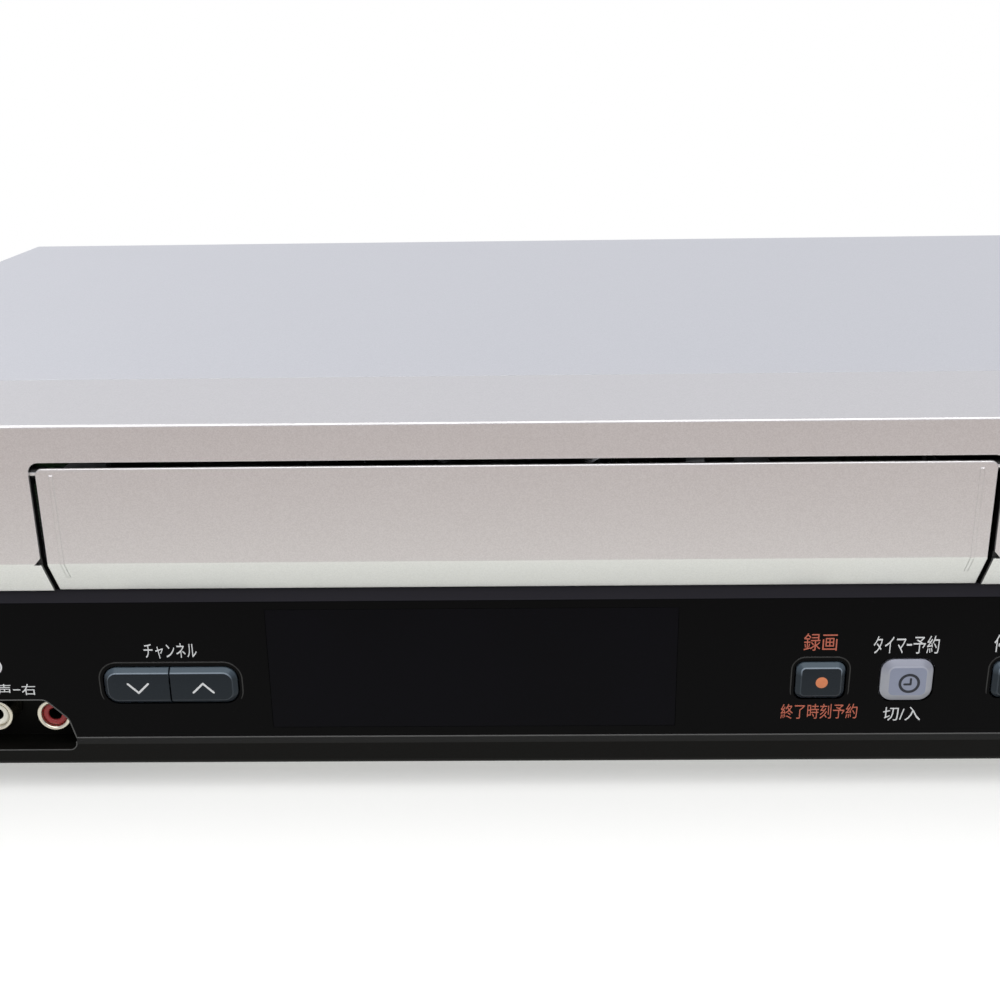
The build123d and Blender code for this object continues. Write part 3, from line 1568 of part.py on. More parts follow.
# Back-tension arm on the left
pin_x = deck_x + tension_pin[0]
pin_y = tension_pin[1]
tension_dx = pin_x - tension_at[0]
tension_dy = pin_y - tension_at[1]
tension_reach = math.hypot(tension_dx, tension_dy)
tension_turn = math.degrees(math.atan2(tension_dy, tension_dx))
tension_level = deck_top + 5.0
tension_sheet = 2.0
tension_width = 6.0
tension_sleeve_bottom = deck_top + 2.5
tension_sleeve_height = 6.5
tension_pin_radius = 2.0
with BuildPart() as tension_arm:
    with BuildSketch(level(tension_level)):
        with Locations(((pin_x + tension_at[0]) / 2, (pin_y + tension_at[1]) / 2)):
            SlotCenterToCenter(tension_reach, tension_width, rotation=tension_turn)
    extrude(amount=tension_sheet)
    with BuildSketch(level(tension_sleeve_bottom)):
        with Locations(tension_at):
            Circle(tension_collar_radius)
    extrude(amount=tension_sleeve_height)
    with BuildSketch(level(deck_top)):
        with Locations(tension_at):
            Circle(tension_stud_radius + running_gap)
    extrude(amount=tension_stud_height, mode=Mode.SUBTRACT)
    with BuildSketch(level(tension_level)):
        with Locations((pin_x, pin_y)):
            Circle(tension_pin_radius)
    extrude(amount=guide_top - tension_level)
finish(tension_arm.part, "tension_arm")

# Fixed heads on their brackets
head_bracket = 2.0
head_round = 2.0
erase_bracket_width = 12.0
erase_bracket_depth = 14.0
erase_width = 7.0
erase_depth = 8.0
erase_height = 24.0
with BuildPart() as full_erase_head:
    with BuildSketch(level(deck_top)):
        with Locations((deck_x + erase_head_at[0], erase_head_at[1])):
            Rectangle(erase_bracket_width, erase_bracket_depth)
    extrude(amount=head_bracket)
    with BuildSketch(level(deck_top + head_bracket)):
        with Locations((deck_x + erase_head_at[0], erase_head_at[1])):
            Rectangle(erase_width, erase_depth)
    extrude(amount=erase_height)
    fillet(full_erase_head.edges().filter_by(Axis.Z).group_by(Axis.X)[-2], head_round)
finish(full_erase_head.part, "full_erase_head")

control_bracket_width = 18.0
control_bracket_depth = 14.0
control_bracket_shift = 2.0
control_width = 10.0
control_depth = 9.0
control_height = 26.0
with BuildPart() as audio_control_head:
    with BuildSketch(level(deck_top)):
        bracket_x = deck_x + control_head_at[0] + control_bracket_shift
        with Locations((bracket_x, control_head_at[1] + control_bracket_shift)):
            Rectangle(control_bracket_width, control_bracket_depth)
    extrude(amount=head_bracket)
    with BuildSketch(level(deck_top + head_bracket)):
        with Locations((deck_x + control_head_at[0], control_head_at[1])):
            Rectangle(control_width, control_depth)
    extrude(amount=control_height)
    fillet(audio_control_head.edges().filter_by(Axis.Z).group_by(Axis.X)[1], head_round)
finish(audio_control_head.part, "audio_control_head")

# Loading motor above the deck, its pinion and the cam gear below
motor_radius = 11.5
motor_height = 20.0
motor_flat = 5.0
motor_cap_radius = 4.0
motor_cap_height = 2.0
motor_shaft_radius = 1.0
motor_bore_depth = 4.0
with BuildPart() as loading_motor:
    with BuildSketch(level(deck_top)):
        with Locations((pinion_x, pinion_y)):
            Circle(motor_radius)
            Rectangle(2 * motor_radius, 2 * motor_radius - motor_flat, mode=Mode.INTERSECT)
    extrude(amount=motor_height)
    with BuildSketch(level(deck_top + motor_height)):
        with Locations((pinion_x, pinion_y)):
            Circle(motor_cap_radius)
    extrude(amount=motor_cap_height)
    with BuildSketch(level(deck_top)):
        with Locations((pinion_x, pinion_y)):
            Circle(motor_shaft_radius + running_gap)
    extrude(amount=motor_bore_depth, mode=Mode.SUBTRACT)
finish(loading_motor.part, "loading_motor")

pinion_phase = mesh_angle + 180.0 + 180.0 / pinion_teeth
with BuildPart() as loading_pinion:
    with BuildSketch(level(cam_bottom)):
        with Locations((pinion_x, pinion_y)):
            Polygon(*gear_points(pinion_teeth, pinion_phase), align=None)
    extrude(amount=cam_width)
    with BuildSketch(level(cam_bottom + cam_width)):
        with Locations((pinion_x, pinion_y)):
            Circle(motor_shaft_radius)
    extrude(amount=deck_top + motor_bore_depth - 0.5 - cam_bottom - cam_width)
finish(loading_pinion.part, "loading_pinion")

cam_track_outer = 19.0
cam_track_inner = 15.5
cam_track_depth = 1.5
with BuildPart() as cam_gear:
    with BuildSketch(level(cam_bottom)):
        with Locations((cam_x, cam_y)):
            Polygon(*gear_points(cam_teeth, mesh_angle), align=None)
            Circle(cam_stud_radius + running_gap, mode=Mode.SUBTRACT)
    extrude(amount=cam_width)
    with BuildSketch(level(cam_bottom + cam_width)):
        with Locations((cam_x, cam_y)):
            Circle(cam_track_outer)
            Circle(cam_track_inner, mode=Mode.SUBTRACT)
    extrude(amount=-cam_track_depth, mode=Mode.SUBTRACT)
finish(cam_gear.part, "cam_gear")

# Carriage side plates with the holder's L-shaped grooves, on feet screwed to the deck
down_z = holder_pin_z - holder_drop
gear_stud_length = 3.4
gear_stud_radius = 2.0
stud_y = holder_front + 9.0
side_middle_y = (side_front + side_rear) / 2
side_foot_x = (side_inner + deck_half_width) / 2
with BuildPart() as carriage_sides:
    for side in (-1, 1):
        inner_x = deck_x + side * side_inner
        with BuildSketch(side_on(inner_x)):
            with Locations((side_middle_y, (deck_top + side_top) / 2)):
                Rectangle(side_rear - side_front, side_top - deck_top)
            for pin in holder_pins_y:
                with Locations((pin - holder_travel / 2, holder_pin_z)):
                    SlotCenterToCenter(holder_travel, groove_width, mode=Mode.SUBTRACT)
                with Locations((pin, (holder_pin_z + down_z) / 2)):
                    SlotCenterToCenter(holder_drop, groove_width, rotation=90, mode=Mode.SUBTRACT)
        extrude(amount=side * side_sheet)
        with BuildSketch(level(deck_top)):
            with Locations((deck_x + side * side_foot_x, side_middle_y)):
                Rectangle(deck_half_width - side_inner, side_rear - side_front)
        extrude(amount=side_sheet)
    with BuildSketch(side_on(deck_x + side_outer)):
        with Locations((stud_y, slider_stud_z)):
            Circle(slider_stud_radius)
    extrude(amount=slider_outer - side_outer + 1.0)
    with BuildSketch(side_on(deck_x + side_outer)):
        with Locations((carriage_gear_y, carriage_gear_z)):
            Circle(gear_stud_radius)
    extrude(amount=gear_stud_length)
finish(carriage_sides.part, "carriage_sides")

# Slider that pushes the holder: pin slots, guide slot and the rack along its top
rack_pitch = math.pi * gear_module
rack_teeth_back = int((slider_rear - carriage_gear_y - 2.0) / rack_pitch)
rack_teeth_front = int((carriage_gear_y - slider_front - 2.0) / rack_pitch)
with BuildPart() as carriage_slider:
    with BuildSketch(side_on(deck_x + slider_inner)):
        with Locations(((slider_front + slider_rear) / 2, (slider_bottom + rack_root_z) / 2)):
            Rectangle(slider_rear - slider_front, rack_root_z - slider_bottom)
        for pin in holder_pins_y:
            with Locations((pin, (holder_pin_z + down_z) / 2)):
                SlotCenterToCenter(holder_drop, groove_width, rotation=90, mode=Mode.SUBTRACT)
        with Locations((stud_y + holder_travel / 2, slider_stud_z)):
            SlotCenterToCenter(holder_travel, 2 * (slider_stud_radius + slide_gap), mode=Mode.SUBTRACT)
        half_root = tooth_thickness / 2 + dedendum * pressure_slope
        half_tip = tooth_thickness / 2 - addendum * pressure_slope
        for tooth in range(-rack_teeth_front, rack_teeth_back + 1):
            middle = carriage_gear_y + tooth * rack_pitch
            with BuildLine():
                Polyline(
                    (middle - half_root, rack_root_z),
                    (middle - half_tip, rack_pitch_z + addendum),
                    (middle + half_tip, rack_pitch_z + addendum),
                    (middle + half_root, rack_root_z),
                    close=True,
                )
            make_face()
    extrude(amount=slider_sheet)
finish(carriage_slider.part, "carriage_slider")

# Gear that drives the rack
with BuildPart() as carriage_gear:
    with BuildSketch(side_on(deck_x + side_outer + slide_gap)):
        with Locations((carriage_gear_y, carriage_gear_z)):
            Polygon(*gear_points(carriage_teeth, -90.0 + 180.0 / carriage_teeth), align=None)
            Circle(gear_stud_radius + running_gap, mode=Mode.SUBTRACT)
    extrude(amount=carriage_gear_width)
finish(carriage_gear.part, "carriage_gear")

# Cassette holder: shelves, side walls, lid plate with two leaf springs, and the guide pins
leaf_width = 16.0
leaf_length = 34.0
leaf_sheet = 0.4
leaf_x = 45.0
leaf_margin = 2.0
leaf_shift = 3.0
stop_width = 10.0
stop_height = 8.0
lid_notch_width = 40.0
lid_notch_depth = 15.0
holder_middle_y = (holder_front + holder_rear) / 2
with BuildPart() as cassette_holder:
    for side in (-1, 1):
        with BuildSketch(side_on(deck_x + side * holder_inner)):
            with Locations((holder_middle_y, (shelf_bottom + lid_top) / 2)):
                Rectangle(holder_length, lid_top - shelf_bottom)
        extrude(amount=side * holder_sheet)
        with BuildSketch(level(shelf_bottom)):
            with Locations((deck_x + side * (holder_inner - shelf_width / 2), holder_middle_y)):
                Rectangle(shelf_width, holder_length)
        extrude(amount=holder_sheet)
        with BuildSketch(facing_front(holder_rear)):
            with Locations((deck_x + side * (holder_inner - stop_width / 2), shelf_bottom + stop_height / 2)):
                Rectangle(stop_width, stop_height)
        extrude(amount=holder_sheet)
    with BuildSketch(level(lid_bottom)):
        with Locations((deck_x, holder_middle_y)):
            Rectangle(2 * holder_outer, holder_length)
        for side in (-1, 1):
            with Locations((deck_x + side * leaf_x, holder_middle_y)):
                Rectangle(
                    leaf_width + 2 * leaf_margin, leaf_length + 2 * leaf_margin, mode=Mode.SUBTRACT
                )
        with Locations((deck_x, holder_front)):
            Rectangle(lid_notch_width, 2 * lid_notch_depth, mode=Mode.SUBTRACT)
    extrude(amount=holder_sheet)
    for side in (-1, 1):
        with BuildSketch(level(lid_bottom)):
            with Locations((deck_x + side * leaf_x, holder_middle_y + leaf_shift)):
                Rectangle(leaf_width, leaf_length)
        extrude(amount=leaf_sheet)
    for side, reach in ((-1, side_outer + 1.0), (1, slider_outer + 1.0)):
        with BuildSketch(side_on(deck_x + side * holder_outer)):
            with Locations(*[(pin, holder_pin_z) for pin in holder_pins_y]):
                Circle(holder_pin_radius)
        extrude(amount=side * (reach - holder_outer))
finish(cassette_holder.part, "cassette_holder")
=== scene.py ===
import math
import bmesh
import bpy
from mathutils import Matrix, Vector


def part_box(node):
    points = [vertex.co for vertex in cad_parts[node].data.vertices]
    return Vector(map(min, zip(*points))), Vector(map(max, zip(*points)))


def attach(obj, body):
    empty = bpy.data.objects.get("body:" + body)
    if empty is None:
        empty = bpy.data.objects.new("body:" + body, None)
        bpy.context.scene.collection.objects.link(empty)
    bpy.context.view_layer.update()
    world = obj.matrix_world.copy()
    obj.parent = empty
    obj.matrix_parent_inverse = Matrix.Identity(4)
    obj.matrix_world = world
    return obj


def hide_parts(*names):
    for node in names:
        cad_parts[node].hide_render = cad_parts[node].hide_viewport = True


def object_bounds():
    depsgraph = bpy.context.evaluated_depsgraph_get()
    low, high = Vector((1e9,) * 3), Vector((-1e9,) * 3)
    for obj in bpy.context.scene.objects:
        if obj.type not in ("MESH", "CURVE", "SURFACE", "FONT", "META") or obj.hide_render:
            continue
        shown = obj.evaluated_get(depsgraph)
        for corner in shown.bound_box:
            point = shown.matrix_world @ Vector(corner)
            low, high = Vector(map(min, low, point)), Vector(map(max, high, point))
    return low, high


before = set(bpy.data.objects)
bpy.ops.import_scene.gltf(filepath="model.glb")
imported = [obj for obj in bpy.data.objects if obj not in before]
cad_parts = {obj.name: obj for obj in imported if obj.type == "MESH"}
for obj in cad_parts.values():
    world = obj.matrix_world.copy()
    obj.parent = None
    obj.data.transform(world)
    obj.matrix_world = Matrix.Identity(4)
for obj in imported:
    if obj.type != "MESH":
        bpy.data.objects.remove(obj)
cad_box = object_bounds()
bpy.ops.object.select_all(action="DESELECT")

# Camera: close in front of the recorder and above it, looking down on the door. The place, the
# tilt and the focal length are those that put the part's front over the one in the photograph.
camera_place = Vector((-0.010131, -0.399141, 0.165038))
camera_pitch = math.radians(19.2)
camera_yaw = math.radians(-1.075)
camera_roll = math.radians(-0.823)
focal_length = 45.574

sight = Vector((
    math.sin(camera_yaw) * math.cos(camera_pitch),
    math.cos(camera_yaw) * math.cos(camera_pitch),
    -math.sin(camera_pitch),
))
level = Vector((math.cos(camera_yaw), -math.sin(camera_yaw), 0))
upright = level.cross(sight)
camera_right = math.cos(camera_roll) * level + math.sin(camera_roll) * upright
camera_up = math.cos(camera_roll) * upright - math.sin(camera_roll) * level
bpy.ops.object.camera_add()
camera = bpy.context.object
camera.name = "camera"
camera.matrix_world = (
    Matrix.Translation(camera_place)
    @ Matrix((camera_right, camera_up, -sight)).transposed().to_4x4()
)
camera.data.lens = focal_length
camera.data.sensor_width = 36
camera.data.clip_start = 0.01
bpy.context.scene.camera = camera
bpy.context.scene.view_settings.view_transform = "Standard"


# Studio air: it lights the recorder from all round at a plain level. It is white to the eye and
# through glass, and a cool pale grey in gloss.
class Wire:
    """One value in a shader; arithmetic on it adds Math nodes."""

    def __init__(self, shading, socket):
        self.shading = shading
        self.socket = socket

    def __add__(self, other):
        return self.shading.math("ADD", self, other)

    def __radd__(self, other):
        return self.shading.math("ADD", other, self)

    def __sub__(self, other):
        return self.shading.math("SUBTRACT", self, other)

    def __rsub__(self, other):
        return self.shading.math("SUBTRACT", other, self)

    def __mul__(self, other):
        return self.shading.math("MULTIPLY", self, other)

    def __rmul__(self, other):
        return self.shading.math("MULTIPLY", other, self)

    def __gt__(self, other):
        return self.shading.math("GREATER_THAN", self, other)

    def __lt__(self, other):
        return self.shading.math("LESS_THAN", self, other)


class Shading:
    """The node tree of a material or of the world."""

    def __init__(self, owner):
        owner.use_nodes = True
        self.tree = owner.node_tree
        self.tree.nodes.clear()

    def math(self, operation, first, second):
        return self.node("ShaderNodeMath", {"operation": operation}, {0: first, 1: second})

    def node(self, kind, settings, inputs, output=0):
        """Add a node: its settings first, then each input's value or wire. Returns one output."""
        made = self.tree.nodes.new(kind)
        for name, value in settings.items():
            setattr(made, name, value)
        for name, value in inputs.items():
            if isinstance(value, Wire):
                self.tree.links.new(value.socket, made.inputs[name])
            elif isinstance(value, tuple) and len(value) == 3 and made.inputs[name].type == "RGBA":
                made.inputs[name].default_value = (*value, 1.0)
            else:
                made.inputs[name].default_value = value
        return Wire(self, made.outputs[output] if made.outputs else None)


def blend(shading, share, first, second):
    """A colour between two colours."""
    return shading.node("ShaderNodeMix", {"data_type": "RGBA"}, {0: share, 6: first, 7: second}, 2)


def along(shading, place, axis):
    """How far a place lies along X, Y or Z."""
    return shading.node("ShaderNodeSeparateXYZ", {}, {"Vector": place}, axis)


def asked_by(shading, kind):
    """Whether the ray that meets a surface or the air is of this kind."""
    return shading.node("ShaderNodeLightPath", {}, {}, kind)


air_light = 0.70
air_gloss = (0.70, 0.71, 0.76)
plain_white = (1.0, 1.0, 1.0)
world = bpy.data.worlds.new("studio_air")
bpy.context.scene.world = world
air = Shading(world)
gloss_ray = asked_by(air, "Is Glossy Ray")
seen = asked_by(air, "Is Camera Ray") + asked_by(air, "Is Transmission Ray") + gloss_ray
tint = blend(air, gloss_ray, plain_white, air_gloss)
strength = (seen > 0.5) * (1 - air_light) + air_light
sky = air.node("ShaderNodeBackground", {}, {"Color": tint, "Strength": strength})
air.node("ShaderNodeOutputWorld", {}, {"Surface": sky})


# Floor: white paper under the recorder and pale grey beyond it. To the eye all of it is white, and
# in gloss it grows darker away from the recorder.
floor_size = 30.0
paper_colour = (0.86, 0.86, 0.85)
beyond_colour = (0.52, 0.50, 0.49)
paper_gloss = (1.0, 1.0, 0.97)
beyond_gloss = (0.52, 0.44, 0.42)
paper_start = 0.05
paper_end = 0.42
paper_glow = 0.24
gloss_start = 0.03
gloss_end = 0.28
half_width, half_depth = cad_box[1][:2]
bpy.ops.mesh.primitive_plane_add(size=floor_size, location=(0, 0, 0))
floor = bpy.context.object
floor.name = "floor"
floor_paint = bpy.data.materials.new("floor_paint")
ground = Shading(floor_paint)
spot = ground.node("ShaderNodeTexCoord", {}, {}, "Object")
beside = ground.math("ABSOLUTE", along(ground, spot, "X"), 0) - half_width
before = ground.math("ABSOLUTE", along(ground, spot, "Y"), 0) - half_depth
beside = ground.math("MAXIMUM", beside, 0.0)
before = ground.math("MAXIMUM", before, 0.0)
away = ground.math("SQRT", beside * beside + before * before, 0)
smooth = {"interpolation_type": "SMOOTHSTEP"}
inputs = {"Value": away, "From Min": paper_start, "From Max": paper_end}
beyond = ground.node("ShaderNodeMapRange", smooth, inputs)
camera_ray = asked_by(ground, "Is Camera Ray")
inputs = {
    "Base Color": blend(ground, beyond, paper_colour, beyond_colour),
    "Roughness": 0.9,
    "Specular IOR Level": 0.0,
    "Emission Color": plain_white,
    "Emission Strength": camera_ray * paper_glow,
}
matt = ground.node("ShaderNodeBsdfPrincipled", {}, inputs)
white = ground.node("ShaderNodeEmission", {}, {"Color": plain_white, "Strength": 1.0})
eye = ground.node("ShaderNodeMixShader", {}, {0: camera_ray * beyond, 1: matt, 2: white})
inputs = {"Value": away, "From Min": gloss_start, "From Max": gloss_end}
fading = ground.node("ShaderNodeMapRange", smooth, inputs)
gloss = blend(ground, fading, paper_gloss, beyond_gloss)
mirrored = ground.node("ShaderNodeEmission", {}, {"Color": gloss, "Strength": 1.0})
gloss_ray = asked_by(ground, "Is Glossy Ray")
shown = ground.node("ShaderNodeMixShader", {}, {0: gloss_ray, 1: eye, 2: mirrored})
ground.node("ShaderNodeOutputMaterial", {}, {"Surface": shown})
floor.data.materials.append(floor_paint)


# Lamps: two large soft ones that face the recorder, one above and in front of it, and a smaller
# one high on its left.
lamp_height = 1.7
for place, width, power in (((0.0, -1.6, 2.1), 3.4, 36.0), ((-1.6, 0.5, 2.0), 2.0, 16.0)):
    direction = Vector((0, 0, 0)) - Vector(place)
    bpy.ops.object.light_add(
        type="AREA", location=place, rotation=direction.to_track_quat("-Z", "Y").to_euler()
    )
    lamp = bpy.context.object.data
    lamp.shape = "RECTANGLE"
    lamp.size = width
    lamp.size_y = lamp_height
    lamp.energy = power


# Tray and sheet-metal parts: zinc-plated steel, pressed from 1 to 1.5 mm sheet. The plating shows faint
# spangles and the fine lines of rolling. On the deck inside it is rougher, and its darker tone is painted
# shade.
mm = 0.001
edge_round = 0.15 * mm
rolling_stretch = 40
spangle_size = 7 * mm


def finish(name, make, **constants):
    """A material whose principled shader takes these constants and what make() adds."""
    material = bpy.data.materials.new(name)
    shading = Shading(material)
    place = shading.node("ShaderNodeTexCoord", {}, {}, "Object")
    inputs = {key.replace("_", " "): value for key, value in constants.items()}
    inputs.update(make(shading, place))
    surface = shading.node("ShaderNodeBsdfPrincipled", {}, inputs)
    shading.node("ShaderNodeOutputMaterial", {}, {"Surface": surface})
    return material


def noise(shading, place, size, detail):
    """Soft noise whose blots are about this size."""
    return shading.node("ShaderNodeTexNoise", {}, {"Vector": place, "Scale": 1 / size, "Detail": detail})


def stretched(shading, place, x, y, z):
    """The place, scaled along each axis."""
    return shading.node("ShaderNodeMapping", {}, {"Vector": place, "Scale": (x, y, z)})


def relief(shading, height, depth, radius=edge_round):
    """A normal with this height pattern, over edges that are rounded by a radius."""
    rounded = shading.node("ShaderNodeBevel", {"samples": 4}, {"Radius": radius})
    inputs = {"Height": height, "Distance": depth, "Strength": 1.0, "Normal": rounded}
    return shading.node("ShaderNodeBump", {}, inputs)


def dress(material, *names):
    """Give CAD nodes a finish."""
    for name in names:
        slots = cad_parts[name].data.materials
        slots.clear()
        slots.append(material)


def zinc_look(low, high, sheen):
    """Plated sheet between two tones, with the lines of rolling and the plating's spangles."""

    def look(shading, place):
        lines = noise(shading, stretched(shading, place, 1, rolling_stretch, 1), 9 * mm, 3.0)
        cells = {"Vector": place, "Scale": 1 / spangle_size}
        crystals = shading.node("ShaderNodeTexVoronoi", {}, cells, "Color")
        spangle = shading.node("ShaderNodeSeparateColor", {}, {"Color": crystals})
        return {
            "Base Color": blend(shading, spangle, low, high),
            "Roughness": sheen + 0.12 * lines + 0.03 * spangle,
            "Normal": relief(shading, lines, 0.01 * mm),
        }

    return look


zinc_sheet = finish("zinc_sheet", zinc_look((0.56, 0.565, 0.565), (0.62, 0.62, 0.61), 0.30), Metallic=1.0)
# Painted shade: the deck, carriage sides and head plate take a dark tone for the inside of the bay.
dull_sheet = finish("dull_sheet", zinc_look((0.20, 0.205, 0.21), (0.26, 0.262, 0.265), 0.46), Metallic=1.0)
dress(zinc_sheet, "bottom_chassis", "rear_panel")
dress(dull_sheet, "deck_chassis", "carriage_sides", "audio_control_head")
dress(zinc_sheet, "cassette_holder", "carriage_slider", "idler_arm", "pinch_arm", "tension_arm")


# Feet: four moulded black plastic feet with a hollow sole, pressed through the tray's floor. The
# recess for the front jacks, the rear jack block and the mains inlet are moulded in the same black.
def moulded_look(tone, grain_depth):
    """Moulded plastic or rubber in one tone, cloudy and finely grained."""

    def look(shading, place):
        grain = noise(shading, place, 0.35 * mm, 3.0)
        patches = noise(shading, place, 14 * mm, 2.0)
        return {
            "Base Color": blend(shading, patches, tone, tuple(1.25 * c for c in tone)),
            "Roughness": 0.42 + 0.16 * patches,
            "Normal": relief(shading, grain, grain_depth),
        }

    return look


black_matt = finish("black_matt", moulded_look((0.0032, 0.0032, 0.0025), 0.03 * mm), Specular_IOR_Level=0.10)
dress(black_matt, "feet", "jack_panel", "rear_jack_block", "mains_inlet")


# Main board and key board: green laminate with tinned tracks under the lacquer. The main board lies
# on the tray's standoffs and the key board on the panel's bosses.
track_gap = 0.6 * mm
track_length = 21 * mm
track_pitch = 4.2 * mm


def board_look(shading, place):
    rows = {"Mortar Size": track_gap, "Brick Width": track_length, "Row Height": track_pitch}
    inputs = {"Vector": place, "Scale": 1.0, **rows}
    tracks = shading.node("ShaderNodeTexBrick", {"offset": 0.5}, inputs, "Fac")
    stain = noise(shading, place, 30 * mm, 3.0)
    ground_tone = blend(shading, stain, (0.020, 0.065, 0.025), (0.035, 0.095, 0.035))
    return {
        "Base Color": blend(shading, tracks, ground_tone, (0.10, 0.20, 0.08)),
        "Roughness": 0.34 + 0.1 * stain,
        "Normal": relief(shading, tracks, 0.03 * mm),
    }


laminate = finish("laminate", board_look)
dress(laminate, "main_board", "front_board", "drum_motor")


# Parts on the board: black moulded packages and connectors, can capacitors in dark sleeves with a
# bare aluminium top, and a tinned screen can, all soldered down.
can_top = 25.4 * mm


def parts_look(shading, place):
    patches = noise(shading, place, 6 * mm, 3.0)
    sleeve = blend(shading, patches, (0.018, 0.020, 0.030), (0.028, 0.030, 0.044))
    bare = along(shading, place, "Z") > can_top
    return {
        "Base Color": blend(shading, bare, sleeve, (0.62, 0.62, 0.62)),
        "Metallic": bare,
        "Roughness": 0.38 + 0.14 * patches,
        "Normal": relief(shading, patches, 0.02 * mm),
    }


board_finish = finish("board_finish", parts_look)
dress(board_finish, "board_parts")
package_black = finish("package_black", moulded_look((0.022, 0.022, 0.024), 0.02 * mm))
dress(package_black, "full_erase_head")


# Power capacitors: tall cans in blue-black sleeves with bare tops, on the main board beside the
# bare aluminium heat sink.
large_can_top = 45.2 * mm
sink_edge = 137.0 * mm


def power_look(shading, place):
    patches = noise(shading, place, 9 * mm, 3.0)
    sleeve = blend(shading, patches, (0.016, 0.020, 0.036), (0.024, 0.030, 0.052))
    tops = along(shading, place, "Z") > large_can_top
    bare = shading.math("MAXIMUM", tops, along(shading, place, "X") < sink_edge)
    return {
        "Base Color": blend(shading, bare, sleeve, (0.66, 0.66, 0.67)),
        "Metallic": bare,
        "Roughness": 0.34 + 0.16 * patches,
        "Normal": relief(shading, patches, 0.02 * mm),
    }


power_finish = finish("power_finish", power_look)
dress(power_finish, "power_capacitors")


# Transformer: a core of iron sheets, lacquered black, round a taped coil. It stands on the main
# board in front of the mains inlet.
sheet_bands = 300.0


def core_look(shading, place):
    inputs = {"Vector": place, "Scale": sheet_bands, "Distortion": 0.3}
    sheets = shading.node("ShaderNodeTexWave", {"bands_direction": "Z"}, inputs)
    return {
        "Base Color": blend(shading, sheets, (0.035, 0.03, 0.028), (0.09, 0.08, 0.07)),
        "Roughness": 0.45 + 0.2 * sheets,
        "Normal": relief(shading, sheets, 0.1 * mm),
    }


core_iron = finish("core_iron", core_look, Metallic=0.4)
dress(core_iron, "transformer")


# Turned parts: the aluminium head drum, nickel-plated cans and ground steel pins, all bright, with
# the fine rings that the tool leaves round them.
ring_stretch = 60


def turned_look(shading, place):
    rings = noise(shading, stretched(shading, place, 1, 1, ring_stretch), 12 * mm, 4.0)
    return {
        "Base Color": blend(shading, rings, (0.70, 0.70, 0.71), (0.80, 0.80, 0.80)),
        "Roughness": 0.16 + 0.14 * rings,
        "Normal": relief(shading, rings, 0.01 * mm),
    }


turned_metal = finish("turned_metal", turned_look, Metallic=1.0)
dress(turned_metal, "drum_base", "lower_drum", "upper_drum", "capstan", "capstan_motor", "door_spring")
dress(turned_metal, "supply_guide", "take_up_guide", "tuner_box", "loading_motor")
dress(turned_metal, "cover_screws")


# Gears and reels: moulded in natural acetal, pale and slightly waxy, and left bare. They run on
# the posts and shafts of the deck and of the carriage.
def acetal_look(shading, place):
    patches = noise(shading, place, 8 * mm, 3.0)
    return {
        "Base Color": blend(shading, patches, (0.66, 0.63, 0.54), (0.74, 0.72, 0.63)),
        "Roughness": 0.38 + 0.12 * patches,
        "Normal": relief(shading, patches, 0.03 * mm),
    }


acetal = finish("acetal", acetal_look, Subsurface_Weight=0.08, Subsurface_Scale=0.002)
dress(acetal, "supply_reel", "take_up_reel", "reel_pulley", "loading_pinion", "cam_gear", "carriage_gear")


# Rubber: the flat belt under the deck, the idler's tyre and the pinch roller, moulded in dull black
# rubber with a faint bloom.
black_rubber = finish("black_rubber", moulded_look((0.016, 0.016, 0.017), 0.05 * mm))
dress(black_rubber, "reel_belt", "idler_wheel", "pinch_roller")


# Display tube: clear glass over a dark grid, behind the window. A bar of pins along its foot holds
# it to the key board.
grid_bands = 500.0


def tube_look(shading, place):
    inputs = {"Vector": place, "Scale": grid_bands}
    mesh = shading.node("ShaderNodeTexWave", {"bands_direction": "X"}, inputs)
    return {
        "Base Color": blend(shading, mesh, (0.03, 0.04, 0.04), (0.09, 0.11, 0.10)),
        "Roughness": 0.08 + 0.05 * mesh,
        "Normal": relief(shading, mesh, 0.01 * mm),
    }


tube_glass = finish("tube_glass", tube_look)
dress(tube_glass, "display_tube")


# Lower panel: one polished black moulding across the front, with the openings for keys and window.
# Its sloped ledge under the door is paler: painted reflection of the light above.
lit_ledge_foot = 49.6 * mm


def polished_look(shading, place):
    haze = noise(shading, place, 40 * mm, 4.0)
    dust = noise(shading, place, 1.2 * mm, 2.0)
    # Painted reflection: the panel is paler above this height.
    lit_ledge = along(shading, place, "Z") > lit_ledge_foot
    face_tone = blend(shading, haze, (0.0006, 0.0006, 0.0008), (0.0012, 0.0011, 0.0014))
    return {
        "Base Color": blend(shading, lit_ledge, face_tone, (0.0190, 0.0180, 0.0225)),
        "Roughness": 0.06 + 0.05 * haze + 0.03 * dust,
        "Normal": relief(shading, haze, 0.05 * mm),
    }


polished_black = finish("polished_black", polished_look, Specular_IOR_Level=0.06)
dress(polished_black, "lower_panel")


# Display window: a sheet of smoked acrylic, clipped in behind the panel and flush with it, and so
# dark that it looks black.
def smoked_look(shading, place):
    haze = noise(shading, place, 25 * mm, 4.0)
    return {
        "Base Color": blend(shading, haze, (0.0006, 0.0005, 0.0012), (0.0014, 0.0012, 0.0030)),
        "Roughness": 0.05 + 0.06 * haze,
        "Normal": relief(shading, haze, 0.03 * mm),
    }


smoked_acrylic = finish("smoked_acrylic", smoked_look, Specular_IOR_Level=0.065)
dress(smoked_acrylic, "display_window")


# Keys: satin plastic caps with a sloped rim, 1.1 mm proud of the panel, each with a flange behind
# it. The two channel keys share one long opening; the timer key is paler, with a broader rim.
key_face = -137.6 * mm
key_rim = -136.5 * mm
key_root = -133.6 * mm
flange_back = key_root + 1.5 * mm
flange_corner = 0.4 * mm
key_z = 29.0 * mm
rim_slope = 1.1 * mm
outline_steps = 10
channel_split = 0.4 * mm
print_depth = 0.03 * mm
# The ridge band beside the front and the rims' upper slopes carry painted highlight; these set where it
# lies.
ridge_light_depth = 0.20 * mm
top_light_start = 1.4 * mm
top_light_reach = 2 * mm


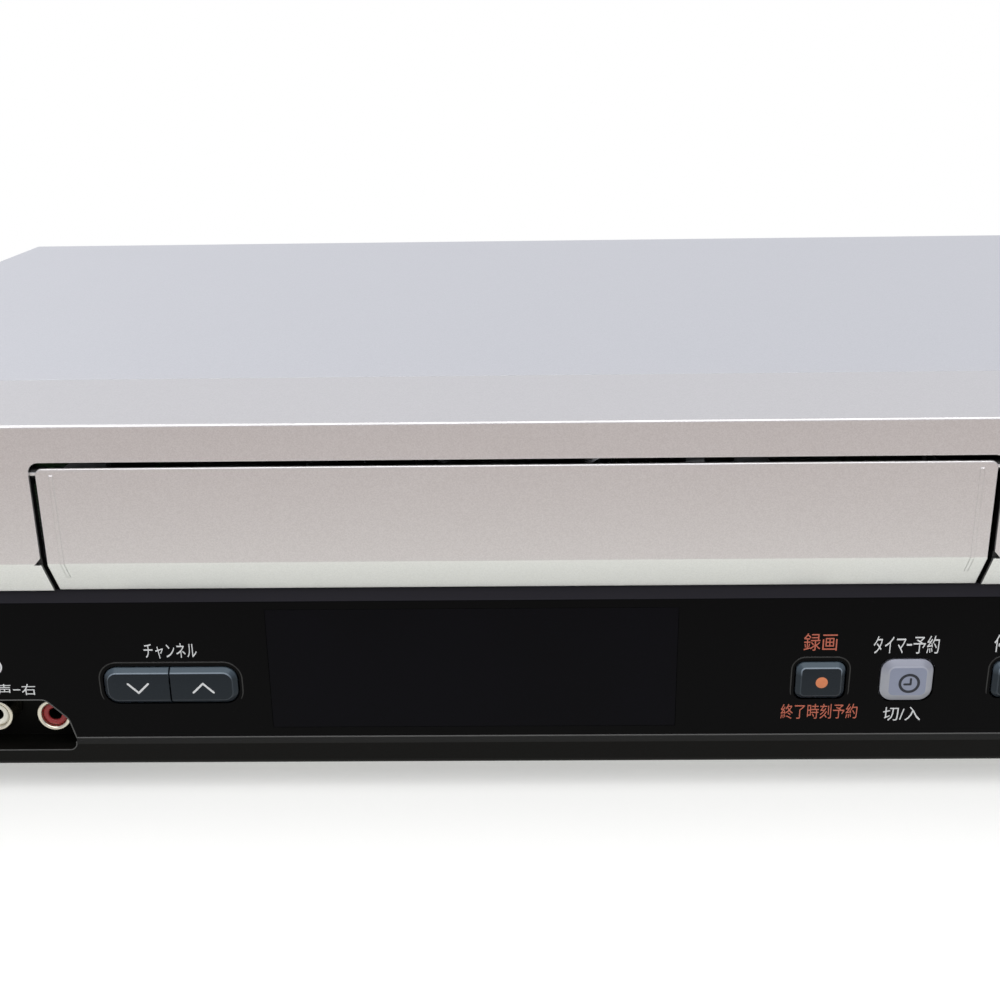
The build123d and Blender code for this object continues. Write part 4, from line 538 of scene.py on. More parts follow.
def pick(kind, test):
    """In edit mode, select the faces or edges that pass a test."""
    bpy.ops.object.mode_set(mode="EDIT")
    bpy.ops.mesh.select_mode(type=kind)
    bpy.ops.mesh.select_all(action="DESELECT")
    mesh = bmesh.from_edit_mesh(bpy.context.object.data)
    for part in mesh.faces if kind == "FACE" else mesh.edges:
        part.select_set(test(part))
    bmesh.update_edit_mesh(bpy.context.object.data)


def block(name, low, high):
    """A box between two corners, with its place in its mesh."""
    low, high = Vector(low), Vector(high)
    bpy.ops.object.select_all(action="DESELECT")
    bpy.ops.mesh.primitive_cube_add(size=1, location=(low + high) / 2, scale=high - low)
    bpy.context.object.name = name
    bpy.ops.object.transform_apply(location=True, rotation=True, scale=True)
    return bpy.context.object


def only(piece):
    """Select one piece alone and make it the active one."""
    bpy.ops.object.select_all(action="DESELECT")
    piece.select_set(True)
    bpy.context.view_layer.objects.active = piece


def join(first, *others):
    """Join meshes into the first."""
    only(first)
    for piece in others:
        piece.select_set(True)
    bpy.ops.object.join()
    return first


def leave(piece, material, angle=35.0):
    """Leave edit mode, smooth the soft edges and give the piece its finish."""
    bpy.ops.object.mode_set(mode="OBJECT")
    only(piece)
    bpy.ops.object.shade_smooth_by_angle(angle=math.radians(angle))
    piece.data.materials.clear()
    piece.data.materials.append(material)
    return piece


def runs_back(edge):
    """Whether an edge runs straight back."""
    a, b = edge.verts
    return abs(a.co.x - b.co.x) + abs(a.co.z - b.co.z) < 1e-6


def lies_at(y):
    """A test for faces or edges that lie at one depth."""
    return lambda part: all(abs(v.co.y - y) < 1e-6 for v in part.verts)


def plate(name, x, z, width, height, corner, front, back):
    """A block with rounded corners between two depths, still in edit mode."""
    piece = block(name, (x - width / 2, front, z - height / 2), (x + width / 2, back, z + height / 2))
    pick("EDGE", runs_back)
    bpy.ops.mesh.bevel(offset=corner, segments=outline_steps)
    return piece


def rod(name, x, z, radius, front, back, sides):
    """A cylinder or prism that runs to the back between two depths."""
    bpy.ops.object.select_all(action="DESELECT")
    bpy.ops.mesh.primitive_cylinder_add(
        vertices=sides,
        radius=radius,
        depth=back - front,
        location=(x, (front + back) / 2, z),
        rotation=(math.pi / 2, 0, 0),
    )
    bpy.context.object.name = name
    bpy.ops.object.transform_apply(location=True, rotation=True, scale=True)
    return bpy.context.object


def raise_face(slope):
    """Slope the active piece's front in by a width, up to the key face, and soften that edge."""
    pick("FACE", lies_at(key_rim))
    bpy.ops.mesh.inset(thickness=slope, depth=0)
    bpy.ops.transform.translate(value=(0, key_face - key_rim, 0))
    pick("EDGE", lies_at(key_face))
    bpy.ops.mesh.bevel(offset=0.22 * mm, segments=3)


def satin_look(tone, sheen):
    """Satin plastic in one tone, a little cloudy."""

    def look(shading, place):
        grain = noise(shading, place, 0.12 * mm, 2.0)
        patches = noise(shading, place, 6 * mm, 3.0)
        return {
            "Base Color": blend(shading, patches, tone, tuple(1.15 * c for c in tone)),
            "Roughness": sheen + 0.08 * patches,
            "Normal": relief(shading, grain, 0.003 * mm),
        }

    return look


def key_look(front_low, front_high, rim_light_tones, ridge_light_tones, sheen):
    """The printed front, and the bare rim and ridge whose tones change with height: painted highlight and
    shade on the slopes.
    """

    def look(shading, place):
        depth = along(shading, place, "Y")
        # Painted light: the rim and ridge take their top tones over 2 mm above the key's middle.
        top_light_share = (along(shading, place, "Z") - (key_z + top_light_start)) * (1 / top_light_reach)
        top_light_share = shading.math("MINIMUM", shading.math("MAXIMUM", top_light_share, 0.0), 1.0)
        grain = noise(shading, place, 0.12 * mm, 2.0)
        patches = noise(shading, place, 6 * mm, 3.0)
        front = blend(shading, patches, front_low, front_high)
        rim = blend(shading, top_light_share, *rim_light_tones)
        ridge_light = blend(shading, top_light_share, *ridge_light_tones)
        sides = blend(shading, depth > key_face + ridge_light_depth, ridge_light, rim)
        return {
            "Base Color": blend(shading, depth > key_face + print_depth, front, sides),
            "Roughness": sheen + 0.08 * patches,
            "Normal": relief(shading, grain, 0.003 * mm),
        }

    return look


# Tones run from foot to top: the dark keys' pale top rim and pale ridge are painted highlight.
key_dark = finish(
    "key_dark",
    key_look(
        (0.0040, 0.0054, 0.0088),
        (0.0050, 0.0066, 0.0106),
        ((0.010, 0.014, 0.020), (0.052, 0.070, 0.090)),
        ((0.028, 0.034, 0.042), (0.215, 0.255, 0.305)),
        0.17,
    ),
    Specular_IOR_Level=0.28,
    Specular_Tint=(0.80, 0.93, 1.0, 1.0),
)
# On the silver key the rim is paler below, which is painted reflection.
key_silver = finish(
    "key_silver",
    key_look(
        (0.205, 0.225, 0.30),
        (0.235, 0.26, 0.345),
        ((0.31, 0.32, 0.36), (0.26, 0.27, 0.325)),
        ((0.31, 0.32, 0.36), (0.32, 0.335, 0.40)),
        0.30,
    ),
    Metallic=0.25,
)


def middle(node):
    """How far along X a CAD node has its middle."""
    low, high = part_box(node)
    return (low.x + high.x) / 2


def seat(cap, node, material):
    """Finish a cap, add the flange behind it and put both in the place of their CAD node."""
    leave(cap, material, 30.0)
    low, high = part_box(node)
    flange = block(node + "_flange", (low.x, key_root, low.z), (high.x, flange_back, high.z))
    pick("EDGE", runs_back)
    bpy.ops.mesh.bevel(offset=flange_corner, segments=2)
    leave(flange, material)
    join(cap, flange)
    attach(cap, node)
    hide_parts(node)


def key_cap(node, outline, slope, material, side=0):
    """A key's cap round an outline of x, z, width, height and corner; side keeps half of a pair."""
    cap = plate(node + "_cap", *outline, key_rim, key_root)
    raise_face(slope)
    if side:
        split = outline[0] + side * channel_split / 2
        bpy.ops.mesh.select_all(action="SELECT")
        bpy.ops.mesh.bisect(
            plane_co=(split, 0, 0), plane_no=(-side, 0, 0), use_fill=True, clear_outer=True
        )
    seat(cap, node, material)


single_keys = (
    ("record_button", 11.2, 9.1, 2.0, rim_slope, key_dark),
    ("timer_button", 11.9, 10.4, 3.0, 1.7 * mm, key_silver),
    ("stop_eject_button", 14.0, 9.1, 2.0, rim_slope, key_dark),
    ("play_button", 20.0, 10.4, 3.0, 1.4 * mm, key_dark),
    ("rewind_button", 14.0, 9.1, 2.0, rim_slope, key_dark),
    ("forward_button", 14.0, 9.1, 2.0, rim_slope, key_dark),
)
for node, width, height, corner, slope, material in single_keys:
    outline = (middle(node), key_z, width * mm, height * mm, corner * mm)
    key_cap(node, outline, slope, material)
channel_keys = (-92.1 * mm, key_z - 0.3 * mm, 31.1 * mm, 9.0 * mm, 3.2 * mm)
key_cap("channel_down_button", channel_keys, rim_slope, key_dark, -1)
key_cap("channel_up_button", channel_keys, rim_slope, key_dark, 1)


# Power key: a round cap at the panel's left end, moulded as the other keys are, with the same
# sloped rim and a flange behind it.
power_radius = 6.5 * mm
power_sides = 96
power_x = middle("power_button")
power_cap = rod("power_button_cap", power_x, key_z, power_radius, key_rim, key_root, power_sides)
raise_face(rim_slope)
seat(power_cap, "power_button", key_dark)


# Beads: each dark key sits in a shallow moulded surround whose raised edge catches a thin light. It
# belongs to the panel's moulding, stands 0.14 mm proud of its face and runs out below the key.
panel_front = -136.5 * mm
bead_width = 0.34 * mm
bead_rise = 0.14 * mm
bead_side_gap = 0.9 * mm
bead_upright_gap = 1.15 * mm
bead_sink = 0.03 * mm
bead_root = 0.1 * mm
bead_corner = 0.1 * mm
bead_black = finish("bead_black", satin_look((0.0030, 0.0030, 0.0028), 0.18))


def carve(piece, tool):
    """Cut a tool's shape out of a piece and drop the tool."""
    only(piece)
    cut = piece.modifiers.new("carve", "BOOLEAN")
    cut.operation = "DIFFERENCE"
    cut.object = tool
    bpy.ops.object.modifier_apply(modifier="carve")
    bpy.data.objects.remove(tool)


def bead(name, x, z, width, height, corner):
    """A bead round a key of this outline, proud of the panel."""
    rings = []
    for grow, reach in ((bead_width, 0.0), (0.0, 1 * mm)):
        wide = width + 2 * (bead_side_gap + grow)
        tall = height + 2 * (bead_upright_gap + grow)
        front = panel_front - bead_rise - reach
        back = panel_front + bead_root + reach
        rings.append(plate(name, x, z, wide, tall, corner + bead_side_gap + grow, front, back))
        bpy.ops.object.mode_set(mode="OBJECT")
    outer, inner = rings
    carve(outer, inner)
    rim = lies_at(panel_front - bead_rise)
    pick("EDGE", lambda edge: rim(edge) and len(edge.link_faces) == 2 and edge.calc_face_angle(0) > 1)
    bpy.ops.mesh.bevel(offset=bead_corner, segments=2)
    bpy.ops.mesh.select_all(action="SELECT")
    bpy.ops.transform.rotate(
        value=-(bead_rise + bead_sink) / (height + 2 * bead_upright_gap),
        orient_axis="X",
        center_override=(x, panel_front, z + height / 2 + bead_upright_gap),
    )
    leave(outer, bead_black)
    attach(outer, "housing")


for node, width, height, corner, slope, material in single_keys:
    if material is key_dark:
        bead(node + "_bead", middle(node), key_z, width * mm, height * mm, corner * mm)
bead("channel_bead", *channel_keys)
bead("power_bead", power_x, key_z, 2 * power_radius, 2 * power_radius, power_radius - 0.02 * mm)


# Bottom rail: matt black moulding along the panel's foot, scooped out under the front jacks. Its upper slope
# is paler, which is painted highlight where it faces the light.
lit_slope_foot = 13.7 * mm


def rail_look(shading, place):
    grain = noise(shading, place, 0.35 * mm, 3.0)
    patches = noise(shading, place, 14 * mm, 2.0)
    # Painted highlight: the rail is paler above this height.
    slope = along(shading, place, "Z") > lit_slope_foot
    tone = blend(shading, patches, (0.0028, 0.0026, 0.0022), (0.0038, 0.0036, 0.0030))
    return {
        "Base Color": blend(shading, slope, tone, (0.014, 0.014, 0.0135)),
        "Roughness": 0.42 + 0.16 * patches,
        "Normal": relief(shading, grain, 0.03 * mm),
    }


rail_black = finish("rail_black", rail_look, Specular_IOR_Level=0.10)
dress(rail_black, "bottom_rail")


# Lips: thin round lips along the recess for the front jacks and along the joint of panel and rail, part of
# the mouldings. Their pale grey is painted highlight, the fine pale lines these edges catch.
lip_black = finish("lip_black", satin_look((0.050, 0.050, 0.049), 0.20))
lip_sides = 3
sharp_fold = 0.5
recess_left = -158 * mm
recess_right = -113 * mm
recess_top = 25.1 * mm
rail_front = -137.3 * mm
rail_joint = 14.95 * mm


def lip(name, node, radius, test):
    """A thin round lip along those edges of a CAD node that pass a test."""
    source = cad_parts[node]
    piece = source.copy()
    piece.data = source.data.copy()
    piece.name = name
    bpy.context.collection.objects.link(piece)
    only(piece)
    bpy.ops.object.mode_set(mode="EDIT")
    bpy.ops.mesh.select_all(action="SELECT")
    bpy.ops.mesh.remove_doubles(threshold=1e-6)
    pick("EDGE", lambda edge: edge.calc_face_angle(0) > sharp_fold and test(edge))
    bpy.ops.mesh.select_all(action="INVERT")
    bpy.ops.mesh.delete(type="EDGE")
    bpy.ops.mesh.select_all(action="SELECT")
    bpy.ops.mesh.delete_loose(use_verts=True, use_edges=False, use_faces=False)
    bpy.ops.object.mode_set(mode="OBJECT")
    bpy.ops.object.convert(target="CURVE")
    piece = bpy.context.object
    piece.data.bevel_depth = radius
    piece.data.bevel_resolution = lip_sides
    piece.data.use_fill_caps = True
    bpy.ops.object.convert(target="MESH")
    piece = bpy.context.object
    leave(piece, lip_black, 60.0)
    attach(piece, "housing")


def in_recess(edge):
    return all(recess_left < v.co.x < recess_right and v.co.z < recess_top for v in edge.verts)


def on_panel_recess(edge):
    above_rail = max(v.co.z for v in edge.verts) > rail_joint + 0.1 * mm
    return lies_at(panel_front)(edge) and in_recess(edge) and above_rail


def on_rail_recess(edge):
    return lies_at(rail_front)(edge) and in_recess(edge)


def on_joint(edge):
    level = all(abs(v.co.z - rail_joint) < 0.02 * mm for v in edge.verts)
    return lies_at(panel_front)(edge) and level


lip("recess_lip", "lower_panel", 0.17 * mm, on_panel_recess)
lip("recess_foot_lip", "bottom_rail", 0.14 * mm, on_rail_recess)
lip("rail_lip", "bottom_rail", 0.22 * mm, on_joint)


# Marks on the keys: printed chevrons, the round record mark and a small clock. The ink is thin, a
# little worn, and laid on the caps' fronts.
def ink_look(tone):
    """Printing ink in one tone, a little worn."""

    def look(shading, place):
        wear = noise(shading, place, 0.5 * mm, 3.0)
        worn = tuple(0.9 * c for c in tone)
        return {"Base Color": blend(shading, wear, worn, tone), "Roughness": 0.45 + 0.1 * wear}

    return look


ink_white = finish("ink_white", ink_look((0.62, 0.63, 0.64)))
ink_orange = finish("ink_orange", ink_look((0.44, 0.105, 0.060)))
ink_amber = finish("ink_amber", ink_look((0.60, 0.190, 0.075)))
ink_dark = finish("ink_dark", ink_look((0.006, 0.009, 0.018)))
ink_thickness = 0.03 * mm
over_ink = 1.3 * ink_thickness
chevron_width = 0.46 * mm
chevron_reach = 2.35 * mm
chevron_rise = 1.15 * mm


def stroke(name, start, end, width, thickness=ink_thickness):
    """A straight printed stroke on the keys' fronts."""
    (x1, z1), (x2, z2) = start, end
    bpy.ops.object.select_all(action="DESELECT")
    bpy.ops.mesh.primitive_cube_add(
        size=1,
        location=((x1 + x2) / 2, key_face - thickness / 2, (z1 + z2) / 2),
        rotation=(0, -math.atan2(z2 - z1, x2 - x1), 0),
        scale=(math.hypot(x2 - x1, z2 - z1) + width, thickness, width),
    )
    bpy.context.object.name = name
    bpy.ops.object.transform_apply(location=True, rotation=True, scale=True)
    pick("EDGE", runs_back)
    bpy.ops.mesh.bevel(offset=0.49 * width, segments=4)
    bpy.ops.object.mode_set(mode="OBJECT")
    return bpy.context.object


def chevron(node, x, z, direction):
    """A chevron that points up or down; its second stroke lies over the end of the first."""
    foot = z - direction * chevron_rise
    tip = (x, foot + 2 * direction * chevron_rise)
    left = stroke(node + "_chevron", (x - chevron_reach, foot), tip, chevron_width)
    right = stroke("stroke", tip, (x + chevron_reach, foot), chevron_width, over_ink)
    mark = leave(join(left, right), ink_white)
    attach(mark, node)


chevron("channel_down_button", -99.5 * mm, 28.4 * mm, -1)
chevron("channel_up_button", -84.4 * mm, 28.4 * mm, 1)


def turned(name, x, z, profile, steps=64):
    """A ring extruded and resized along an axis that runs to the back, one (radius, y) at a time."""
    radius, y = profile[0]
    bpy.ops.object.select_all(action="DESELECT")
    bpy.ops.mesh.primitive_circle_add(
        vertices=steps, radius=radius, location=(x, y, z), rotation=(math.pi / 2, 0, 0)
    )
    piece = bpy.context.object
    piece.name = name
    bpy.ops.object.transform_apply(location=True, rotation=True, scale=True)
    bpy.ops.object.mode_set(mode="EDIT")
    bpy.ops.mesh.select_all(action="SELECT")
    for next_radius, next_y in profile[1:]:
        bpy.ops.mesh.extrude_edges_move(TRANSFORM_OT_translate={"value": (0, next_y - y, 0)})
        share = next_radius / radius
        bpy.ops.transform.resize(value=(share, 1, share), center_override=(x, next_y, z))
        radius, y = next_radius, next_y
    bpy.ops.mesh.select_all(action="SELECT")
    bpy.ops.mesh.remove_doubles(threshold=1e-6)
    bpy.ops.mesh.normals_make_consistent(inside=False)
    bpy.ops.object.mode_set(mode="OBJECT")
    return piece


record_x = 58.2 * mm
record_z = 28.9 * mm
record_radius = 1.38 * mm
record_crown = 1.32 * mm
almost_nothing = 0.001 * mm
front_ink = key_face - ink_thickness
record_mark = turned(
    "record_mark",
    record_x,
    record_z,
    [
        (almost_nothing, front_ink),
        (record_crown, front_ink),
        (record_radius, key_face),
        (almost_nothing, key_face),
    ],
)
leave(record_mark, ink_amber)
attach(record_mark, "record_button")

clock_x = 78.2 * mm
clock_z = 28.6 * mm
clock_radius = 2.45 * mm
clock_bore = 1.82 * mm
hand_width = 0.5 * mm
clock_ring = turned(
    "timer_mark",
    clock_x,
    clock_z,
    [
        (clock_bore, key_face),
        (clock_bore, front_ink),
        (clock_radius, front_ink),
        (clock_radius, key_face),
        (clock_bore, key_face),
    ],
)
hands = (clock_x + 0.3 * mm, clock_z - 0.25 * mm)
up_hand = stroke("hand", hands, (hands[0], hands[1] + 1.35 * mm), hand_width)
side_hand = stroke("hand", hands, (hands[0] - 1.4 * mm, hands[1]), hand_width, over_ink)
leave(join(clock_ring, up_hand, side_hand), ink_dark)
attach(clock_ring, "timer_button")


# Legends: the plain names of the keys and front jacks, screen-printed on the panel in white and
# orange. Each is stretched between its left and right edge, foot and top.
def legend(name, words, left, right, foot, top, ink, face=panel_front):
    """Words printed between these edges, on a plane that faces the front."""
    bpy.ops.object.select_all(action="DESELECT")
    bpy.ops.object.text_add(rotation=(math.pi / 2, 0, 0))
    bpy.context.object.data.body = words
    bpy.context.object.data.resolution_u = 3
    bpy.ops.object.convert(target="MESH")
    piece = bpy.context.object
    piece.name = name
    bpy.ops.object.transform_apply(location=True, rotation=True, scale=True)
    low = Vector([min(v.co[i] for v in piece.data.vertices) for i in range(3)])
    high = Vector([max(v.co[i] for v in piece.data.vertices) for i in range(3)])
    wide = (right - left) / (high.x - low.x)
    tall = (top - foot) / (high.z - low.z)
    piece.scale = (wide, 1, tall)
    piece.location = (left - low.x * wide, face - ink_thickness, foot - low.z * tall)
    bpy.ops.object.transform_apply(location=True, rotation=False, scale=True)
    leave(piece, ink)
    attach(piece, "housing")
    return piece


legends = (
    ("channel_legend", "チャンネル", -97.6, -85.4, 35.5, 39.4, ink_white),
    ("record_legend", "録画", 53.7, 61.3, 36.5, 40.9, ink_orange),
    ("record_end_legend", "終了時刻予約", 49.5, 67.2, 19.0, 22.9, ink_orange),
    ("timer_legend", "タイマ", 69.6, 76.9, 35.7, 40.1, ink_white),
    ("timer_legend_bar", "ー", 77.1, 78.3, 37.6, 38.1, ink_white),
    ("timer_legend_end", "予約", 78.6, 84.5, 35.6, 40.1, ink_white),
    ("timer_switch_legend", "切/入", 73.2, 81.9, 18.4, 22.0, ink_white),
    ("stop_legend", "停止/取出", 96.9, 112.0, 35.9, 40.3, ink_white),
    ("play_legend", "再生", 124.7, 132.4, 35.9, 40.3, ink_white),
    ("rewind_legend", "巻戻し", 147.6, 159.3, 35.9, 40.3, ink_white),
    ("forward_legend", "早送り", 170.2, 181.9, 35.9, 40.3, ink_white),
    ("power_legend", "電源", -191.6, -184.4, 38.4, 42.4, ink_white),
    ("right_legend", "音声−右", -136.5, -124.0, 26.3, 29.2, ink_white),
    ("left_legend", "左", -145.0, -142.2, 26.3, 29.2, ink_white),
    ("mono_legend", "(モノ)", -141.6, -131.0, 32.0, 35.6, ink_white),
    ("video_legend", "映像", -156.4, -150.6, 26.3, 29.2, ink_white),
)
for name, words, left, right, foot, top, ink in legends:
    legend(name, words, left * mm, right * mm, foot * mm, top * mm, ink)


# Front phono jacks: nickel-plated shells with a rolled lip round a coloured moulded insulator, and a black
# cup in the bore that is painted shade down to the centre contact. They stand on the back wall of their
# recess.
def nickel_look(shading, place):
    haze = noise(shading, place, 2 * mm, 4.0)
    return {
        "Base Color": blend(shading, haze, (0.62, 0.58, 0.48), (0.74, 0.70, 0.60)),
        "Roughness": 0.16 + 0.14 * haze,
        "Normal": relief(shading, haze, 0.006 * mm),
    }


nickel = finish("nickel", nickel_look, Metallic=1.0)
jack_z = 19.3 * mm
shell_front = -133.7 * mm
shell_back = -125.5 * mm
shell_radius = 4.15 * mm
mouth_radius = 3.0 * mm
bore_radius = 1.55 * mm
insulators = {
    "right_audio_jack": ("red_plastic", (0.26, 0.012, 0.014)),
    "left_audio_jack": ("white_plastic", (0.72, 0.70, 0.62)),
    "video_jack": ("yellow_plastic", (0.72, 0.50, 0.03)),
}


def fix(piece, material, angle=60.0):
    """Finish a piece that is fixed to the housing."""
    leave(piece, material, angle)
    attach(piece, "housing")


for node, (slot, tone) in insulators.items():
    jack_x = middle(node)
    shell = turned(
        node + "_shell",
        jack_x,
        jack_z,
        [
            (shell_radius, shell_back),
            (shell_radius, shell_front + 0.5 * mm),
            (shell_radius - 0.15 * mm, shell_front + 0.12 * mm),
            (shell_radius - 0.45 * mm, shell_front),
            (mouth_radius + 0.15 * mm, shell_front + 0.12 * mm),
            (mouth_radius, shell_front + 0.5 * mm),
            (mouth_radius, shell_back),
            (shell_radius, shell_back),
        ],
    )
    fix(shell, nickel)
    cone = turned(
        node + "_insulator",
        jack_x,
        jack_z,
        [
            (mouth_radius - 0.02 * mm, shell_back),
            (mouth_radius - 0.02 * mm, shell_front + 1.1 * mm),
            (mouth_radius - 0.35 * mm, shell_front + 0.75 * mm),
            (bore_radius + 0.25 * mm, shell_front + 0.75 * mm),
            (bore_radius, shell_front + 0.95 * mm),
            (bore_radius, shell_front + 1.2 * mm),
        ],
    )
    bore = turned(
        node + "_bore",
        jack_x,
        jack_z,
        [
            (bore_radius + 0.1 * mm, shell_front + 1.15 * mm),
            (bore_radius - 0.1 * mm, shell_front + 1.15 * mm),
            (bore_radius - 0.1 * mm, shell_front + 6.0 * mm),
            (almost_nothing, shell_front + 6.0 * mm),
        ],
    )
    # The bore's black cup is painted shade.
    leave(bore, black_matt, 60.0)
    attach(bore, "housing")
    insulator = finish(slot, satin_look(tone, 0.22))
    leave(cone, insulator, 60.0)
    low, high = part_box(node)
    body = block(node + "_body", (low.x, shell_back, low.z), (high.x, high.y, high.z))
    leave(body, insulator)
    join(cone, body)
    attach(cone, "housing")
    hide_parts(node)


# Rear phono sockets: six nickel-plated shells in two rows, each with a coloured moulded insulator
# and a dark bore, pressed into the black block behind the rear panel.
rear_face = 140.0 * mm
rear_shell_back = 128.6 * mm
rear_jack_x = -88.0 * mm
rear_pitch = 16.0 * mm
rear_rows = (45.0 * mm, 31.0 * mm)
rear_colours = {-1: "yellow_plastic", 0: "white_plastic", 1: "red_plastic"}
for row, rear_z in enumerate(rear_rows):
    for column, colour in rear_colours.items():
        x = rear_jack_x - column * rear_pitch
        tag = f"{row + 1}_{column + 2}"
        shell = turned(
            "rear_shell_" + tag,
            x,
            rear_z,
            [
                (shell_radius + 0.06 * mm, rear_shell_back),
                (shell_radius + 0.06 * mm, rear_face - 0.1 * mm),
                (shell_radius - 0.10 * mm, rear_face + 0.35 * mm),
                (shell_radius - 0.45 * mm, rear_face + 0.5 * mm),
                (mouth_radius + 0.1 * mm, rear_face + 0.35 * mm),
                (mouth_radius, rear_face + 0.02 * mm),
            ],
        )
        fix(shell, nickel)
        ring = turned(
            "rear_insulator_" + tag,
            x,
            rear_z,
            [
                (mouth_radius + 0.02 * mm, rear_face + 0.01 * mm),
                (mouth_radius - 0.15 * mm, rear_face + 0.20 * mm),
                (bore_radius + 0.35 * mm, rear_face + 0.24 * mm),
                (bore_radius + 0.05 * mm, rear_face + 0.10 * mm),
                (bore_radius + 0.05 * mm, rear_face - 0.10 * mm),
            ],
        )
        fix(ring, bpy.data.materials[colour])


# Aerial sockets: threaded nickel-plated barrels on the tuner can, each with a hexagonal nut on the
# rear panel and a white insulator round the contact hole.
aerial_x = -165.0 * mm
aerial_offset = 11.0 * mm
aerial_z = 30.2 * mm
barrel_radius = 4.7 * mm
barrel_mouth = 3.5 * mm
barrel_end = 142.0 * mm
thread_foot = barrel_radius + 0.02 * mm
thread_crest = barrel_radius + 0.28 * mm
thread_pitch = 0.837 * mm
thread_count = 12
nut_seat = 128.02 * mm
nut_thickness = 2.4 * mm
nut_radius = 7.4 * mm
nut_corner = 0.35 * mm
nut_end = 40 * mm * mm
contact_bore = 0.6 * mm
for side, place_name in ((-1, "in"), (1, "out")):
    x = aerial_x + side * aerial_offset
    nut_top = nut_seat + nut_thickness
    profile = [(thread_foot, nut_top - 0.3 * mm)]
    for turn in range(thread_count):
        start = nut_top + turn * thread_pitch
        profile += [(thread_crest, start + 0.35 * mm), (thread_foot, start + 0.8 * mm)]
    profile += [
        (barrel_radius - 0.1 * mm, barrel_end - 0.02 * mm),
        (barrel_mouth + 0.05 * mm, barrel_end - 0.02 * mm),
        (barrel_mouth, barrel_end - 0.3 * mm),
    ]
    barrel = turned(f"aerial_{place_name}_thread", x, aerial_z, profile)
    fix(barrel, nickel, 30.0)
    core = turned(
        f"aerial_{place_name}_core",
        x,
        aerial_z,
        [
            (barrel_mouth + 0.02 * mm, barrel_end - 3.0 * mm),
            (barrel_mouth - 0.05 * mm, barrel_end - 1.6 * mm),
            (contact_bore + 0.2 * mm, barrel_end - 1.6 * mm),
            (contact_bore, barrel_end - 2.0 * mm),
            (contact_bore, barrel_end - 5.0 * mm),
            (almost_nothing, barrel_end - 5.0 * mm),
        ],
    )
    fix(core, bpy.data.materials["white_plastic"])
    nut = rod(f"aerial_{place_name}_nut", x, aerial_z, nut_radius, nut_seat, nut_top, 6)
    pick("EDGE", lambda edge: not runs_back(edge))
    bpy.ops.mesh.bevel(offset=nut_corner, segments=2)
    pick("FACE", lambda face: abs(face.normal.y) > 0.9 and face.calc_area() > nut_end)
    bpy.ops.mesh.inset(thickness=1.0 * mm, depth=0)
    fix(nut, nickel, 30.0)


# Rear screws: zinc-plated pan heads with a cross recess, which hold the rear panel to the tray and
# to the sockets behind it.
screw_seat = 128.01 * mm
head_radius = 2.9 * mm
head_steps = 32
cross_length = 2.6
cross_width = 0.6
screw_places = (
    *((-203, 70), (-203, 16), (-120, 16), (-132, 62), (-88, 62), (0, 70)),
    *((0, 16), (110, 70), (203, 70), (203, 16), (136, 28), (184, 28)),
)
for number, (x, z) in enumerate(screw_places):
    head = turned(
        f"rear_screw_{number + 1}",
        x * mm,
        z * mm,
        [
            (head_radius, screw_seat),
            (head_radius, screw_seat + 0.6 * mm),
            (0.86 * head_radius, screw_seat + 1.1 * mm),
            (0.55 * head_radius, screw_seat + 1.4 * mm),
            (almost_nothing, screw_seat + 1.5 * mm),
        ],
        head_steps,
    )
    for wide, tall in ((cross_length, cross_width), (cross_width, cross_length)):
        low = ((x - wide / 2) * mm, screw_seat + 0.8 * mm, (z - tall / 2) * mm)
        high = ((x + wide / 2) * mm, screw_seat + 2.0 * mm, (z + tall / 2) * mm)
        carve(head, block("cross_tool", low, high))
    fix(head, zinc_sheet, 40.0)


# Rear legends: plain names of the sockets, printed in black ink on the plated panel. Each is set as
# on the front and then turned to face the back.
rear_panel_face = 128.0 * mm
rear_legends = (
    ("aerial_legend", "アンテナ", -175.0, -155.0, 40.5, 44.5),
    ("aerial_in_legend", "入力", -180.0, -173.0, 16.0, 19.5),
    ("aerial_out_legend", "出力", -157.5, -150.5, 16.0, 19.5),
    ("rear_in_legend", "入力", -120.0, -114.0, 43.5, 46.5),
    ("rear_out_legend", "出力", -120.0, -114.0, 29.5, 32.5),
    ("rear_video_legend", "映像", -75.5, -68.5, 53.5, 57.0),
    ("rear_left_legend", "左", -89.8, -86.2, 53.5, 57.0),
    ("rear_right_legend", "右", -105.8, -102.2, 53.5, 57.0),
    ("mains_legend", "電源入力", 151.0, 169.0, 40.5, 44.5),
)
ink_black = finish("ink_black", ink_look((0.012, 0.012, 0.013)))
for name, words, left, right, foot, top in rear_legends:
    piece = legend(
        name, words, -right * mm, -left * mm, foot * mm, top * mm, ink_black, -rear_panel_face
    )
    piece.rotation_euler = (0, 0, math.pi)
    only(piece)
    bpy.ops.object.transform_apply(location=False, rotation=True, scale=False)


# Mains inlet pins: two nickel-plated round pins with blunt tips, which stand in the well of the
# black inlet.
inlet_x = 160.0 * mm
inlet_z = 28.0 * mm
pin_offset = 4.0 * mm
pin_radius = 1.24 * mm
pin_tip = 0.8 * mm
pin_start = 113.7 * mm
pin_end = 123.65 * mm
pin_steps = 32
for side, name in ((-1, "inlet_pin_right"), (1, "inlet_pin_left")):
    pin = turned(
        name,
        inlet_x + side * pin_offset,
        inlet_z,
        [
            (pin_radius, pin_start),
            (pin_radius, pin_end - 0.5 * mm),
            (pin_tip, pin_end),
            (almost_nothing, pin_end + 0.05 * mm),
        ],
        pin_steps,
    )
    fix(pin, nickel)


# Bezel and door: black mouldings, painted silver on the outside only, so the edges of the opening
# and all that lies behind the front skin stay black. The paint is full of fine metal grain.
front_plane = -142.0 * mm
crease_z = 61.3 * mm
facet_fall = 0.64
paint_depth = 0.75 * mm
painted_top = 92.3 * mm
painted_end = 214.4 * mm
bare_black = (0.006, 0.006, 0.0065)
paint_grain = 0.22 * mm
grain_depth = 0.004 * mm
paint_round = 0.3 * mm


